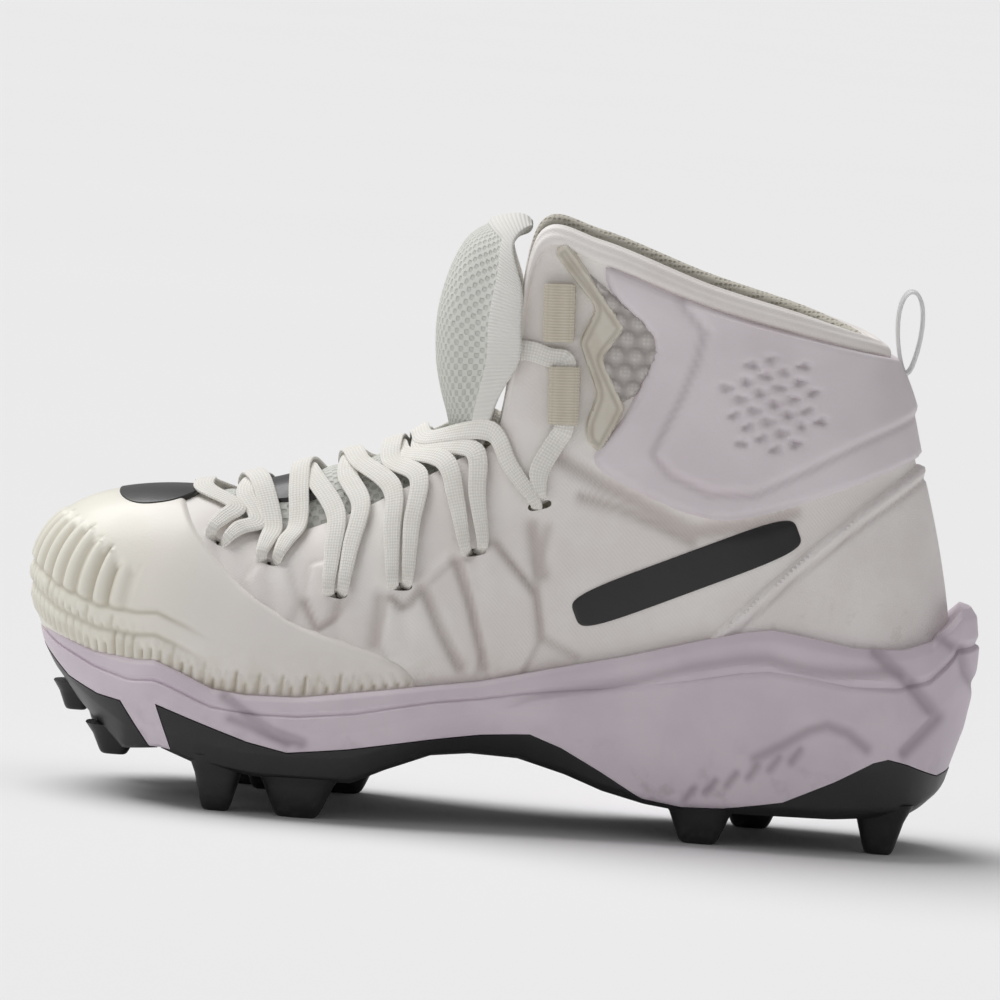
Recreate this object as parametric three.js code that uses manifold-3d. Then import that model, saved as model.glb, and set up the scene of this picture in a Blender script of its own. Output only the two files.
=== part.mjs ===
// High-cut american football cleat for the left foot, as a three.js scene of separate solids.
// Millimetres. x runs from the toe to the heel, y from the lateral to the medial side, z up from the floor.
import * as THREE from "three";
import { mergeVertices } from "three/addons/utils/BufferGeometryUtils.js";
import Module from "manifold-3d";

const wasm = await Module();
wasm.setup();

// Driving sizes
const LENGTH = 300;
const BALL_WIDTH = 112;
const HEEL_WIDTH = 86;
const THROAT_WIDTH = 59;
const COLLAR_WIDTH = 74;
const UPPER_HEIGHT = 146; // footbed to the front corner of the collar
const SOLE_STACK = 30; // underside of the plate to the footbed under the heel
const STUD_LENGTH = 11.5;
const FLARE = 9; // how far the sole stands out past the foot of the upper
const WALL = 2.4;
const COLLAR_PAD = 4.2; // what the padding adds to the wall at the collar
const GAP = 0.3;
const HEIGHT = STUD_LENGTH + SOLE_STACK + UPPER_HEIGHT;

// Ribs of the upper, from the toe tip along one side to the back of the heel. Each rib is a cubic curve from
// its foot on the footbed to its top on the throat or collar edge. bow and lean are its two handles, from the
// foot and from the top. along: share of LENGTH. up: share of UPPER_HEIGHT over the footbed. out: share of half
// the BALL_WIDTH in the forefoot and half the HEEL_WIDTH in the rear; topOut of half the THROAT_WIDTH or
// COLLAR_WIDTH. flare and tuck: shares of FLARE, the sole's edge past the foot and its underside drawn back in.
// pad: share of COLLAR_PAD.
const FOREFOOT_RIBS = [
  { along: 0.032, lateral: -0.09, medial: 0.09, bowAlong: -0.062, bowOut: 0.0, bowUp: 0.18,
    topAlong: 0.168, topOut: 0.0, topUp: 0.366, leanAlong: -0.173, leanOut: 0.0, leanUp: 0.004,
    flare: 0.8, tuck: 1.25, pad: 0 },
  { along: 0.057, lateral: 0.36, medial: 0.55, bowAlong: -0.047, bowOut: 0.16, bowUp: 0.18,
    topAlong: 0.176, topOut: 0.36, topUp: 0.373, leanAlong: -0.13, leanOut: 0.25, leanUp: -0.003,
    flare: 0.8, tuck: 1.0, pad: 0 },
  { along: 0.127, lateral: 0.71, medial: 0.82, bowAlong: -0.017, bowOut: 0.17, bowUp: 0.17,
    topAlong: 0.2, topOut: 0.72, topUp: 0.381, leanAlong: -0.065, leanOut: 0.31, leanUp: -0.027,
    flare: 0.85, tuck: 0.45, pad: 0 },
  { along: 0.21, lateral: 0.855, medial: 0.835, bowAlong: -0.003, bowOut: 0.13, bowUp: 0.155,
    topAlong: 0.252, topOut: 0.93, topUp: 0.36, leanAlong: -0.025, leanOut: 0.3, leanUp: -0.05,
    flare: 0.92, tuck: 0.1, pad: 0 },
  { along: 0.3, lateral: 0.893, medial: 0.786, bowAlong: 0.0, bowOut: 0.09, bowUp: 0.145,
    topAlong: 0.318, topOut: 0.98, topUp: 0.417, leanAlong: -0.008, leanOut: 0.24, leanUp: -0.09,
    flare: 0.95, tuck: 0.0, pad: 0 },
  { along: 0.387, lateral: 0.855, medial: 0.705, bowAlong: 0.0, bowOut: 0.08, bowUp: 0.16,
    topAlong: 0.383, topOut: 1.0, topUp: 0.487, leanAlong: -0.007, leanOut: 0.24, leanUp: -0.1,
    flare: 0.92, tuck: 0.3, pad: 0 },
  { along: 0.46, lateral: 0.795, medial: 0.63, bowAlong: -0.003, bowOut: 0.06, bowUp: 0.185,
    topAlong: 0.432, topOut: 0.99, topUp: 0.538, leanAlong: 0.0, leanOut: 0.23, leanUp: -0.11,
    flare: 0.9, tuck: 0.7, pad: 0 },
  { along: 0.523, lateral: 0.735, medial: 0.575, bowAlong: -0.003, bowOut: 0.055, bowUp: 0.2,
    topAlong: 0.471, topOut: 0.99, topUp: 0.58, leanAlong: 0.015, leanOut: 0.2, leanUp: -0.12,
    flare: 0.9, tuck: 0.7, pad: 0.2 },
];
const REARFOOT_RIBS = [
  { along: 0.59, lateral: 0.895, medial: 0.735, bowAlong: -0.007, bowOut: 0.08, bowUp: 0.226,
    topAlong: 0.484, topOut: 0.87, topUp: 0.764, leanAlong: 0.033, leanOut: 0.13, leanUp: -0.2,
    flare: 0.95, tuck: 0.45, pad: 0.6 },
  { along: 0.657, lateral: 0.85, medial: 0.755, bowAlong: -0.007, bowOut: 0.105, bowUp: 0.26,
    topAlong: 0.502, topOut: 0.93, topUp: 0.99, leanAlong: 0.033, leanOut: 0.0, leanUp: -0.26,
    flare: 1.0, tuck: 0.15, pad: 0.8 },
  { along: 0.727, lateral: 0.825, medial: 0.78, bowAlong: -0.003, bowOut: 0.125, bowUp: 0.26,
    topAlong: 0.567, topOut: 1.0, topUp: 0.972, leanAlong: 0.027, leanOut: -0.09, leanUp: -0.295,
    flare: 1.05, tuck: 0.1, pad: 1 },
  { along: 0.8, lateral: 0.8, medial: 0.78, bowAlong: 0.0, bowOut: 0.125, bowUp: 0.24,
    topAlong: 0.683, topOut: 1.0, topUp: 0.892, leanAlong: 0.023, leanOut: -0.13, leanUp: -0.253,
    flare: 1.1, tuck: 0.1, pad: 1 },
  { along: 0.877, lateral: 0.72, medial: 0.71, bowAlong: 0.003, bowOut: 0.11, bowUp: 0.233,
    topAlong: 0.793, topOut: 0.82, topUp: 0.835, leanAlong: 0.03, leanOut: -0.13, leanUp: -0.233,
    flare: 1.1, tuck: 0.15, pad: 1 },
  { along: 0.937, lateral: 0.45, medial: 0.44, bowAlong: 0.007, bowOut: 0.055, bowUp: 0.226,
    topAlong: 0.853, topOut: 0.46, topUp: 0.8, leanAlong: 0.033, leanOut: -0.045, leanUp: -0.22,
    flare: 1.1, tuck: 0.35, pad: 1 },
  { along: 0.962, lateral: 0.0, medial: 0.0, bowAlong: 0.003, bowOut: 0.0, bowUp: 0.247,
    topAlong: 0.869, topOut: 0.0, topUp: 0.784, leanAlong: 0.043, leanOut: 0.0, leanUp: -0.226,
    flare: 1.15, tuck: 0.5, pad: 1 },
];

// Lines of the sole along its LENGTH, as shares of SOLE_STACK over the underside of the plate.
const FOOTBED = [
  [0, 1.08], [0.1, 0.88], [0.2, 0.735], [0.3, 0.67], [0.4, 0.7], [0.5, 0.8], [0.6, 0.9], [0.7, 0.96],
  [0.8, 0.985], [0.9, 1.02], [1, 1.08],
];
const RIM = [
  [0, 1.47], [0.033, 1.27], [0.075, 1.14], [0.118, 1.11], [0.138, 1.13], [0.166, 1.03], [0.2, 0.89],
  [0.235, 0.86], [0.29, 0.88], [0.34, 0.96], [0.41, 1.07], [0.475, 1.17], [0.557, 1.37], [0.62, 1.52],
  [0.7, 1.75], [0.743, 1.87], [0.774, 1.92], [0.806, 1.88], [0.86, 1.79], [0.911, 1.79], [0.942, 1.88],
  [0.958, 2.05], [0.972, 2.22], [1, 2.2],
];
const SPLIT = [
  [-0.1, 1.6], [0.013, 1.12], [0.047, 0.82], [0.08, 0.7], [0.105, 0.67], [0.139, 0.21], [0.162, 0.21],
  [0.143, 0.68], [0.186, 0.55], [0.24, 0.39], [0.282, 0.31], [0.344, 0.39], [0.417, 0.52], [0.48, 0.62],
  [0.531, 0.66], [0.564, 0.54], [0.608, 0.31], [0.652, 0.06], [0.694, 0.0], [0.736, 0.02], [0.798, 0.14],
  [0.849, 0.39], [0.889, 0.62], [0.904, 0.66], [0.926, 0.6], [0.958, 0.47], [0.974, 0.52], [1.1, 1.2],
];
const UNDERSIDE = [
  [0, 0.85], [0.045, 0.6], [0.075, 0.4], [0.11, 0.14], [0.15, 0.21], [0.185, 0.1], [0.25, 0.02], [0.35, 0.02],
  [0.385, 0.18], [0.43, 0.35], [0.47, 0.39], [0.52, 0.37], [0.57, 0.24], [0.61, 0.1], [0.655, 0.0],
  [0.69, -0.04], [0.85, -0.02], [0.93, 0.04], [0.96, 0.18], [0.985, 0.4], [1, 0.6],
];
// Side of the sole from its underside up. rise: share of its height. out: share of the flare.
const SIDEWALL = [
  { rise: 0.0, out: 0.1 }, { rise: 0.05, out: 0.55 }, { rise: 0.3, out: 0.88 }, { rise: 0.58, out: 1.0 },
  { rise: 0.76, out: 0.97 }, { rise: 0.785, out: 0.82 }, { rise: 0.83, out: 0.9 }, { rise: 0.95, out: 0.8 },
  { rise: 1.0, out: 0.6 },
];

const EYELET_SLOT = { long: 7.5, wide: 2.6 };
const LACE = { wide: 5.6, thick: 1.5, lift: 0.7 }; // flat over the tongue, bunched up where it enters a slot
const BUNCH = { wide: 2.6, thick: 1.8 };
const INSOLE_THICK = 4;
const CUFF_THICK = 2.4;
const COUNTER_THICK = 1.5;
const GUARD_THICK = 1.1;
const STAY_THICK = 2.0;
const FILM_THICK = 0.9;

// Outlines of what is laid on the upper, seen from the side. [share of LENGTH, share of HEIGHT]
const CUFF_OUTLINE = [
  [0.575, 1.1], [0.57, 0.915], [0.634, 0.832], [0.603, 0.695], [0.566, 0.622], [0.628, 0.577], [0.682, 0.546],
  [0.723, 0.543], [0.795, 0.58], [0.857, 0.62], [0.915, 0.662], [1.1, 0.72], [1.1, 1.1],
];
const COUNTER_OUTLINE = [
  [0.7, 0.3], [0.708, 0.348], [0.78, 0.468], [0.85, 0.57], [0.915, 0.652], [1.1, 0.71], [1.1, 0.3],
];
const GUARD_OUTLINE = [
  [-0.1, 0.1], [-0.1, 0.7], [0.14, 0.56], [0.166, 0.46], [0.215, 0.38], [0.28, 0.32], [0.4, 0.27], [0.42, 0.2],
];
const STAY_OUTLINE = [
  [0.516, 0.966], [0.542, 0.918], [0.565, 0.878], [0.55, 0.818], [0.573, 0.737], [0.563, 0.684], [0.566, 0.655],
  [0.582, 0.637], [0.604, 0.715], [0.576, 0.796], [0.598, 0.849], [0.53, 0.985],
];
const FILM_OUTLINE = [
  [0.536, 0.96], [0.59, 0.852], [0.57, 0.797], [0.598, 0.722], [0.615, 0.74], [0.64, 0.832], [0.575, 0.91],
];

// Studs, one row for each: place under the plate, size of the foot, and the height of its tip over the floor.
// along, long: shares of LENGTH. out: share of half the BALL_WIDTH, lateral below zero. wide: share of the same.
const STUDS = [
  { along: 0.1, out: -0.36, long: 0.042, wide: 0.22, tip: 1.1 },
  { along: 0.088, out: 0.5, long: 0.042, wide: 0.22, tip: 1.15 },
  { along: 0.054, out: 0.1, long: 0.034, wide: 0.2, tip: 2.0 },
  { along: 0.212, out: -0.76, long: 0.044, wide: 0.24, tip: 0 },
  { along: 0.234, out: 0.72, long: 0.044, wide: 0.24, tip: 0 },
  { along: 0.296, out: -0.8, long: 0.068, wide: 0.24, tip: 0 },
  { along: 0.336, out: 0.64, long: 0.068, wide: 0.24, tip: 0 },
  { along: 0.262, out: -0.04, long: 0.05, wide: 0.26, tip: 0.3 },
  { along: 0.714, out: -0.54, long: 0.058, wide: 0.22, tip: 0 },
  { along: 0.772, out: 0.5, long: 0.058, wide: 0.22, tip: 0 },
  { along: 0.903, out: -0.36, long: 0.045, wide: 0.22, tip: 0 },
  { along: 0.908, out: 0.32, long: 0.045, wide: 0.22, tip: 0 },
];
// How a stud narrows from its root to its tip. down: share of its height. size: share of its place's long and wide.
const STUD_TAPER = [{ down: 0, size: 1.5 }, { down: 0.35, size: 1.1 }, { down: 0.9, size: 0.72 }, { down: 1, size: 0.6 }];
const STUD_SIDES = 8;
const STUD_ROUND = 0.7; // power that makes a stud's section squarer than an ellipse

// Tongue from under the vamp to its top edge. along, wrap, half and thick: shares of LENGTH. up: share of HEIGHT.
// turn: slope of the tongue there, in degrees over the horizontal.
const TONGUE = [
  { along: 0.155, up: 0.491, turn: 8, half: 0.06, wrap: 0.014, thick: 0.01 },
  { along: 0.2, up: 0.512, turn: 15, half: 0.085, wrap: 0.038, thick: 0.012 },
  { along: 0.26, up: 0.541, turn: 18, half: 0.1, wrap: 0.074, thick: 0.014 },
  { along: 0.32, up: 0.573, turn: 20, half: 0.105, wrap: 0.075, thick: 0.016 },
  { along: 0.375, up: 0.603, turn: 22, half: 0.11, wrap: 0.066, thick: 0.018 },
  { along: 0.416, up: 0.627, turn: 50, half: 0.085, wrap: 0.036, thick: 0.022 },
  { along: 0.421, up: 0.672, turn: 102, half: 0.08, wrap: 0.028, thick: 0.026 },
  { along: 0.408, up: 0.763, turn: 96, half: 0.128, wrap: 0.07, thick: 0.03 },
  { along: 0.407, up: 0.853, turn: 84, half: 0.128, wrap: 0.071, thick: 0.03 },
  { along: 0.423, up: 0.944, turn: 66, half: 0.122, wrap: 0.056, thick: 0.026 },
  { along: 0.452, up: 0.999, turn: 46, half: 0.108, wrap: 0.034, thick: 0.014 },
];
const TONGUE_CURL = 2.5; // how late the tongue's sides turn back: the power of its share across
// Lace slots in each side, from the toe up. along: share of LENGTH. up: share of HEIGHT. tongue: share of the
// tongue's length where the lace of that slot lies on it. spread: mm between a slot's two strands at the edge.
// lean: mm that both have moved towards the toe by then. arch: mm that the crossing from there on stands over
// the tongue.
const SLOTS = [
  { along: 0.192, up: 0.446, tongue: 0.1, spread: 8.6, lean: 0, arch: 0.2 },
  { along: 0.247, up: 0.418, tongue: 0.19, spread: 8.4, lean: 0, arch: 0 },
  { along: 0.318, up: 0.375, tongue: 0.27, spread: 8.5, lean: 0, arch: 0 },
  { along: 0.386, up: 0.395, tongue: 0.355, spread: 9, lean: 0, arch: 0 },
  { along: 0.458, up: 0.459, tongue: 0.43, spread: 9, lean: 2, arch: 1.6 },
  { along: 0.523, up: 0.542, tongue: 0.49, spread: 9, lean: 15, arch: 0 },
];
// Tape loops that carry the lace at the ankle
const TAPE_LOOPS = [[0.539, 0.728], [0.529, 0.866]];
const TAPE = { wide: 9.6, tall: 18, deep: 5, thick: 1.1 };
// The lace from the last slot to the lower tape loop, and from there round the throat edge and behind the tongue.
// [share of LENGTH, share of HEIGHT], and for the bar its share of LENGTH and of half the COLLAR_WIDTH
const ANKLE_RUN = [[0.521, 0.6], [0.536, 0.655]];
const ANKLE_TURN = [[0.521, 0.792], [0.503, 0.797]];
const ANKLE_BAR = [[0.478, 0.88], [0.4785, 0.6], [0.4785, 0]];
const PULL_LOOP = { tall: 27, deep: 11, wide: 13, thick: 1.3, back: 1, rise: 4.86 };

const LACE_ARCH = 1.2; // how far a crossing stands over the tongue in its middle
const STEPS_PER_RIB = 2;
const ROWS_UP = 10;

const smooth = (p0, p1, p2, p3, t) =>
  0.5 * (2 * p1 + (p2 - p0) * t + (2 * p0 - 5 * p1 + 4 * p2 - p3) * t * t + (3 * p1 - p0 - 3 * p2 + p3) * t * t * t);

// Value of a line of the sole at a share of the length, straight between its points.
function lineAt(line, along) {
  let i = 1;
  while (i < line.length - 1 && along > line[i][0]) i++;
  const [a, b] = [line[i - 1], line[i]];
  const t = THREE.MathUtils.clamp((along - a[0]) / (b[0] - a[0]), 0, 1);
  return a[1] + (b[1] - a[1]) * t;
}
const soleHeight = (line, x) => STUD_LENGTH + SOLE_STACK * lineAt(line, x / LENGTH);

// One rib's four control points on one side.
function ribPoints(rib, rear, side) {
  const half = (rear ? HEEL_WIDTH : BALL_WIDTH) / 2;
  const topHalf = (rear ? COLLAR_WIDTH : THROAT_WIDTH) / 2;
  const x = rib.along * LENGTH;
  const z = soleHeight(FOOTBED, x);
  const out = (side < 0 ? rib.lateral : rib.medial) * half;
  const foot = new THREE.Vector3(x, side * out, z);
  const top = new THREE.Vector3(rib.topAlong * LENGTH, side * rib.topOut * topHalf, z + rib.topUp * UPPER_HEIGHT);
  const bow = new THREE.Vector3(rib.bowAlong * LENGTH, side * rib.bowOut * half, rib.bowUp * UPPER_HEIGHT);
  const lean = new THREE.Vector3(rib.leanAlong * LENGTH, side * rib.leanOut * half, rib.leanUp * UPPER_HEIGHT);
  return { points: [foot, bow.add(foot), lean.add(top), top], flare: rib.flare, tuck: rib.tuck, pad: rib.pad };
}

// The ring of ribs: toe tip, lateral side, heel, and back along the medial side.
const oneSide = [...FOREFOOT_RIBS.map((r) => [r, false]), ...REARFOOT_RIBS.map((r) => [r, true])];
const ring = [
  ...oneSide.map(([rib, rear]) => ribPoints(rib, rear, -1)),
  ...oneSide.slice(1, -1).reverse().map(([rib, rear]) => ribPoints(rib, rear, 1)),
];
const RING_STEPS = ring.length * STEPS_PER_RIB;
const HEEL_STEP = RING_STEPS / 2;

// Any number of the ring, read smoothly at step i of the ring.
function ringValue(read, i) {
  const at = (i / STEPS_PER_RIB + ring.length) % ring.length;
  const k = Math.floor(at);
  const p = [-1, 0, 1, 2].map((d) => read(ring[(k + d + ring.length) % ring.length]));
  return smooth(...p, at - k);
}
const ringPoint = (n, i) =>
  new THREE.Vector3(...["x", "y", "z"].map((axis) => ringValue((rib) => rib.points[n][axis], i)));

// The form of the shoe over the sole: a point at step i of the ring and share v of the rib.
function formPoint(i, v) {
  const w = 1 - v;
  return new THREE.Vector3()
    .addScaledVector(ringPoint(0, i), w * w * w)
    .addScaledVector(ringPoint(1, i), 3 * w * w * v)
    .addScaledVector(ringPoint(2, i), 3 * w * v * v)
    .addScaledVector(ringPoint(3, i), v * v * v);
}
function formNormal(i, v) {
  const [e, d] = [0.25, 0.01];
  const along = formPoint(i + e, v).sub(formPoint(i - e, v));
  const up = formPoint(i, Math.min(v + d, 1)).sub(formPoint(i, Math.max(v - d, 0)));
  return along.cross(up).normalize();
}
const ribDirection = (i, v) =>
  formPoint(i, Math.min(v + 0.03, 1)).sub(formPoint(i, Math.max(v - 0.03, 0))).normalize();
const offForm = (i, v, distance) => formPoint(i, v).addScaledVector(formNormal(i, v), distance);
const wallAt = (i, v) => WALL + COLLAR_PAD * ringValue((rib) => rib.pad, i) * v * v;
// Outward direction of the foot line in plan.
function footNormal(i) {
  const along = ringPoint(0, i + 0.25).sub(ringPoint(0, i - 0.25)).setZ(0).normalize();
  return new THREE.Vector3(along.y, -along.x, 0);
}

// Closed solid from a grid of points: rows of rings, where a row's last point joins its first.
// caps closes the first and last rings across from side to side; without caps the grid closes row to row.
function solidFromRings(rows, caps) {
  const n = rows[0].length;
  const position = rows.flat().flatMap((p) => [p.x, p.y, p.z]);
  const index = [];
  const last = caps ? rows.length - 1 : rows.length;
  for (let r = 0; r < last; r++) {
    const next = (r + 1) % rows.length;
    for (let i = 0; i < n; i++) {
      const j = (i + 1) % n;
      index.push(r * n + i, r * n + j, next * n + j, r * n + i, next * n + j, next * n + i);
    }
  }
  const across = (r, flip) => {
    for (let i = 0; i < n / 2; i++) {
      const [a, b, c, d] = [i, i + 1, n - i - 1, (n - i) % n].map((k) => r * n + k);
      const faces = [];
      if (c !== b) faces.push([a, b, c]);
      if (d !== a) faces.push([a, c, d]);
      for (const f of faces) index.push(...(flip ? f.reverse() : f));
    }
  };
  if (caps) {
    across(0, true);
    across(rows.length - 1, false);
  }
  return solidFromTriangles(position, index);
}
function solidFromTriangles(position, index) {
  const geometry = new THREE.BufferGeometry();
  geometry.setAttribute("position", new THREE.Float32BufferAttribute(position, 3));
  geometry.setIndex(index);
  return solidOf(geometry);
}
// A three.js geometry as a solid that can be cut and joined.
function solidOf(geometry) {
  const bare = geometry.clone();
  bare.deleteAttribute("normal");
  bare.deleteAttribute("uv");
  const merged = mergeVertices(bare, 1e-4);
  const made = new wasm.Manifold(
    new wasm.Mesh({
      numProp: 3,
      vertProperties: new Float32Array(merged.attributes.position.array),
      triVerts: new Uint32Array(merged.index.array),
    }),
  );
  return made.volume() < 0 ? turnedOut(merged) : made;
}
function turnedOut(merged) {
  const index = merged.index.array;
  for (let i = 0; i < index.length; i += 3) [index[i], index[i + 1]] = [index[i + 1], index[i]];
  return new wasm.Manifold(
    new wasm.Mesh({
      numProp: 3,
      vertProperties: new Float32Array(merged.attributes.position.array),
      triVerts: new Uint32Array(index),
    }),
  );
}
function meshOf(name, solid, material) {
  const made = solid.getMesh();
  const geometry = new THREE.BufferGeometry();
  const position = new Float32Array(made.numVert * 3);
  for (let i = 0; i < made.numVert; i++) {
    const at = i * made.numProp;
    position.set(made.vertProperties.subarray(at, at + 3), i * 3);
  }
  geometry.setAttribute("position", new THREE.BufferAttribute(position, 3));
  geometry.setIndex(new THREE.BufferAttribute(made.triVerts, 1));
  const mesh = new THREE.Mesh(geometry, material);
  mesh.name = name;
  return mesh;
}
// The one largest piece of a cut solid, without the slivers beside it.
function largest(solid) {
  return solid.decompose().sort((a, b) => b.volume() - a.volume())[0];
}

const rowOf = (point) => Array.from({ length: RING_STEPS }, (_, i) => point(i));
const shares = (n) => Array.from({ length: n + 1 }, (_, k) => k / n);

// A wall that follows the form, between two distances from it. A function of (i, v) gives each distance.
// past: how far the wall runs on beyond the foot and the top of its ribs.
function shell(inner, outer, past = 0) {
  const end = (v) => (v === 0 ? -past : v === 1 ? past : 0);
  const wall = (distance) => (v) =>
    rowOf((i) => offForm(i, v, distance(i, v)).addScaledVector(ribDirection(i, v), end(v)));
  return solidFromRings([...shares(ROWS_UP).map(wall(outer)), ...shares(ROWS_UP).map(wall(inner)).reverse()], false);
}
// The form filled, grown by a distance, for cutting its seat in the sole.
function filledForm(grow) {
  const rows = shares(ROWS_UP).map((v) =>
    rowOf((i) => (v === 0 ? offForm(i, v, grow).setZ(formPoint(i, v).z - grow) : offForm(i, v, grow))),
  );
  return solidFromRings(rows, true);
}
// The sole as one block, from its underside to its rim, grown by a distance.
function soleBlock(grow) {
  const rows = SIDEWALL.map(({ rise, out }) =>
    rowOf((i) => {
      const flare = FLARE * ringValue((rib) => rib.flare, i);
      const tuck = FLARE * ringValue((rib) => rib.tuck, i) * (1 - rise) ** 2;
      const p = ringPoint(0, i).addScaledVector(footNormal(i), flare * out - tuck + grow);
      const [low, high] = [soleHeight(UNDERSIDE, p.x), soleHeight(RIM, p.x)];
      return p.setZ(low + (high + grow - low) * rise);
    }),
  );
  return solidFromRings(rows, true);
}
// A closed outline of the side view carried right across the shoe, or across one side of it.
function sidePrism(points, side = 0) {
  const shape = new THREE.Shape(points.map(([x, z]) => new THREE.Vector2(x, z)));
  const geometry = new THREE.ExtrudeGeometry(shape, { depth: BALL_WIDTH, bevelEnabled: false });
  geometry.rotateX(Math.PI / 2);
  geometry.translate(0, side < 0 ? 0 : side > 0 ? BALL_WIDTH : BALL_WIDTH / 2, 0);
  return solidOf(geometry);
}
const sideOutline = (outline) => outline.map(([along, up]) => [along * LENGTH, up * HEIGHT]);
// A closed outline moved outwards by a distance, corner by corner.
function grownOutline(points, grow) {
  const turn = Math.sign(THREE.ShapeUtils.area(points.map(([x, z]) => new THREE.Vector2(x, z))));
  return points.map(([x, z], k) => {
    const [ax, az] = points.at(k - 1);
    const [bx, bz] = points[(k + 1) % points.length];
    const before = new THREE.Vector2(x - ax, z - az).normalize();
    const after = new THREE.Vector2(bx - x, bz - z).normalize();
    const way = before.clone().add(after).normalize();
    const stretch = (turn * grow) / Math.max(way.dot(before), 0.4);
    return [x + way.y * stretch, z - way.x * stretch];
  });
}
// Everything over or under the line where plate and midsole meet.
function splitPrism(over) {
  const shift = (over ? GAP : -GAP) / 2;
  const points = SPLIT.map(([along, share]) => new THREE.Vector2(along * LENGTH, STUD_LENGTH + SOLE_STACK * share));
  const line = points.map((p, k) => {
    const before = p.clone().sub(points[Math.max(k - 1, 0)]).normalize();
    const after = points[Math.min(k + 1, points.length - 1)].clone().sub(p).normalize();
    const way = before.clone().add(after).normalize();
    const stretch = 1 / Math.max(way.dot(k ? before : after), 0.3);
    return [p.x - way.y * shift * stretch, p.y + way.x * shift * stretch];
  });
  const far = over ? HEIGHT : -HEIGHT;
  return sidePrism([...line, [line.at(-1)[0], far], [line[0][0], far]]);
}

// Point and outward direction on the upper's outer side, nearest to a place in the side view.
function onUpper(along, up, side) {
  const target = new THREE.Vector2(along * LENGTH, up * HEIGHT);
  let best = null;
  for (let i = 0; i <= HEEL_STEP; i += 0.5) {
    const step = side < 0 ? i : RING_STEPS - i;
    for (const v of shares(40)) {
      const p = formPoint(step, v);
      const far = Math.hypot(p.x - target.x, p.z - target.y);
      if (!best || far < best.far) best = { far, step, v, point: p };
    }
  }
  best.normal = formNormal(best.step, best.v);
  return best;
}

function makeUpper() {
  let upper = shell((i, v) => -wallAt(i, v), () => 0);
  for (const side of [-1, 1]) {
    for (const { along, up } of SLOTS) upper = upper.subtract(slotCutter(onUpper(along, up, side)));
  }
  return upper;
}
// A slot through the wall, across the rib.
function slotCutter({ step, v, point, normal }) {
  const rib = ribDirection(step, v);
  const box = new THREE.BoxGeometry(EYELET_SLOT.long, EYELET_SLOT.wide, WALL * 4);
  const frame = new THREE.Matrix4().makeBasis(rib.clone().cross(normal), rib, normal).setPosition(point);
  return solidOf(box.applyMatrix4(frame));
}
function makeMidsole(block, seat) {
  return largest(block.intersect(splitPrism(true)).subtract(seat));
}
// A stud: a blade that narrows from the plate to its tip.
function makeStud(stud) {
  const x = stud.along * LENGTH;
  const y = (stud.out * BALL_WIDTH) / 2;
  const root = soleHeight(UNDERSIDE, x) + SOLE_STACK * 0.14;
  const tip = stud.tip * STUD_LENGTH;
  const half = [(stud.long * LENGTH) / 2, (stud.wide * BALL_WIDTH) / 4];
  const round = (c) => Math.sign(c) * Math.abs(c) ** STUD_ROUND;
  const rows = STUD_TAPER.map(({ down, size }) =>
    shares(STUD_SIDES).slice(1).map((k) => {
      const a = k * Math.PI * 2;
      const out = [round(Math.cos(a)) * half[0] * size, round(Math.sin(a)) * half[1] * size];
      return new THREE.Vector3(x + out[0], y + out[1], root + (tip - root) * down);
    }),
  );
  return solidFromRings(rows, true);
}
function makeOutsole(block, seat) {
  let plate = block;
  for (const stud of STUDS) plate = plate.add(makeStud(stud));
  return largest(plate.intersect(splitPrism(false)).subtract(seat));
}
function makeInsole() {
  const ringAt = (height) =>
    rowOf((i) => offForm(i, 0, -WALL - 1.2).setZ(formPoint(i, 0).z + height));
  return solidFromRings([ringAt(GAP), ringAt(INSOLE_THICK)], true);
}
// Something laid on the upper: a wall over the form, inside an outline of the side view that may be grown.
function overlay(outline, thick, cutters, side = 0, grow = 0) {
  const band = shell(() => GAP * (grow ? 0.5 : 1), () => GAP + thick);
  let piece = band.intersect(sidePrism(grownOutline(sideOutline(outline), grow), side));
  for (const cutter of cutters) piece = piece.subtract(cutter);
  return largest(piece);
}

// Tongue: front face at share t of its length and s across it, at a height over that face.
function tonguePoint(t, s, over) {
  const at = t * (TONGUE.length - 1);
  const k = Math.min(Math.floor(at), TONGUE.length - 2);
  const row = (d) => TONGUE[THREE.MathUtils.clamp(k + d, 0, TONGUE.length - 1)];
  const read = (column) => smooth(row(-1)[column], row(0)[column], row(1)[column], row(2)[column], at - k);
  const turn = THREE.MathUtils.degToRad(read("turn"));
  const half = read("half") * LENGTH;
  const wrap = read("wrap") * LENGTH;
  const front = new THREE.Vector3(-Math.sin(turn), 0, Math.cos(turn));
  const across = new THREE.Vector3(0, half * s, 0);
  const fall = Math.abs(s) ** TONGUE_CURL;
  const slope = s === 0 ? 0 : (TONGUE_CURL * wrap * fall) / (half * s);
  const face = new THREE.Vector3(front.x, slope, front.z).normalize();
  return new THREE.Vector3(read("along") * LENGTH, 0, read("up") * HEIGHT)
    .add(across)
    .addScaledVector(front, -wrap * fall)
    .addScaledVector(face, over);
}
const tongueThick = (t, s) => {
  const at = t * (TONGUE.length - 1);
  const k = Math.min(Math.floor(at), TONGUE.length - 2);
  const thick = TONGUE[k].thick + (TONGUE[k + 1].thick - TONGUE[k].thick) * (at - k);
  return thick * LENGTH * (1 - 0.85 * s ** 4);
};
function makeTongue(cutters) {
  const across = shares(8).map((c) => c * 2 - 1);
  const rows = shares(15).map((t) => [
    ...across.map((s) => tonguePoint(t, s, 0)),
    ...across.toReversed().map((s) => tonguePoint(t, s, -tongueThick(t, s))),
  ]);
  let tongue = solidFromLoops(rows);
  for (const cutter of cutters) tongue = tongue.subtract(cutter);
  return largest(tongue);
}
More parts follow.
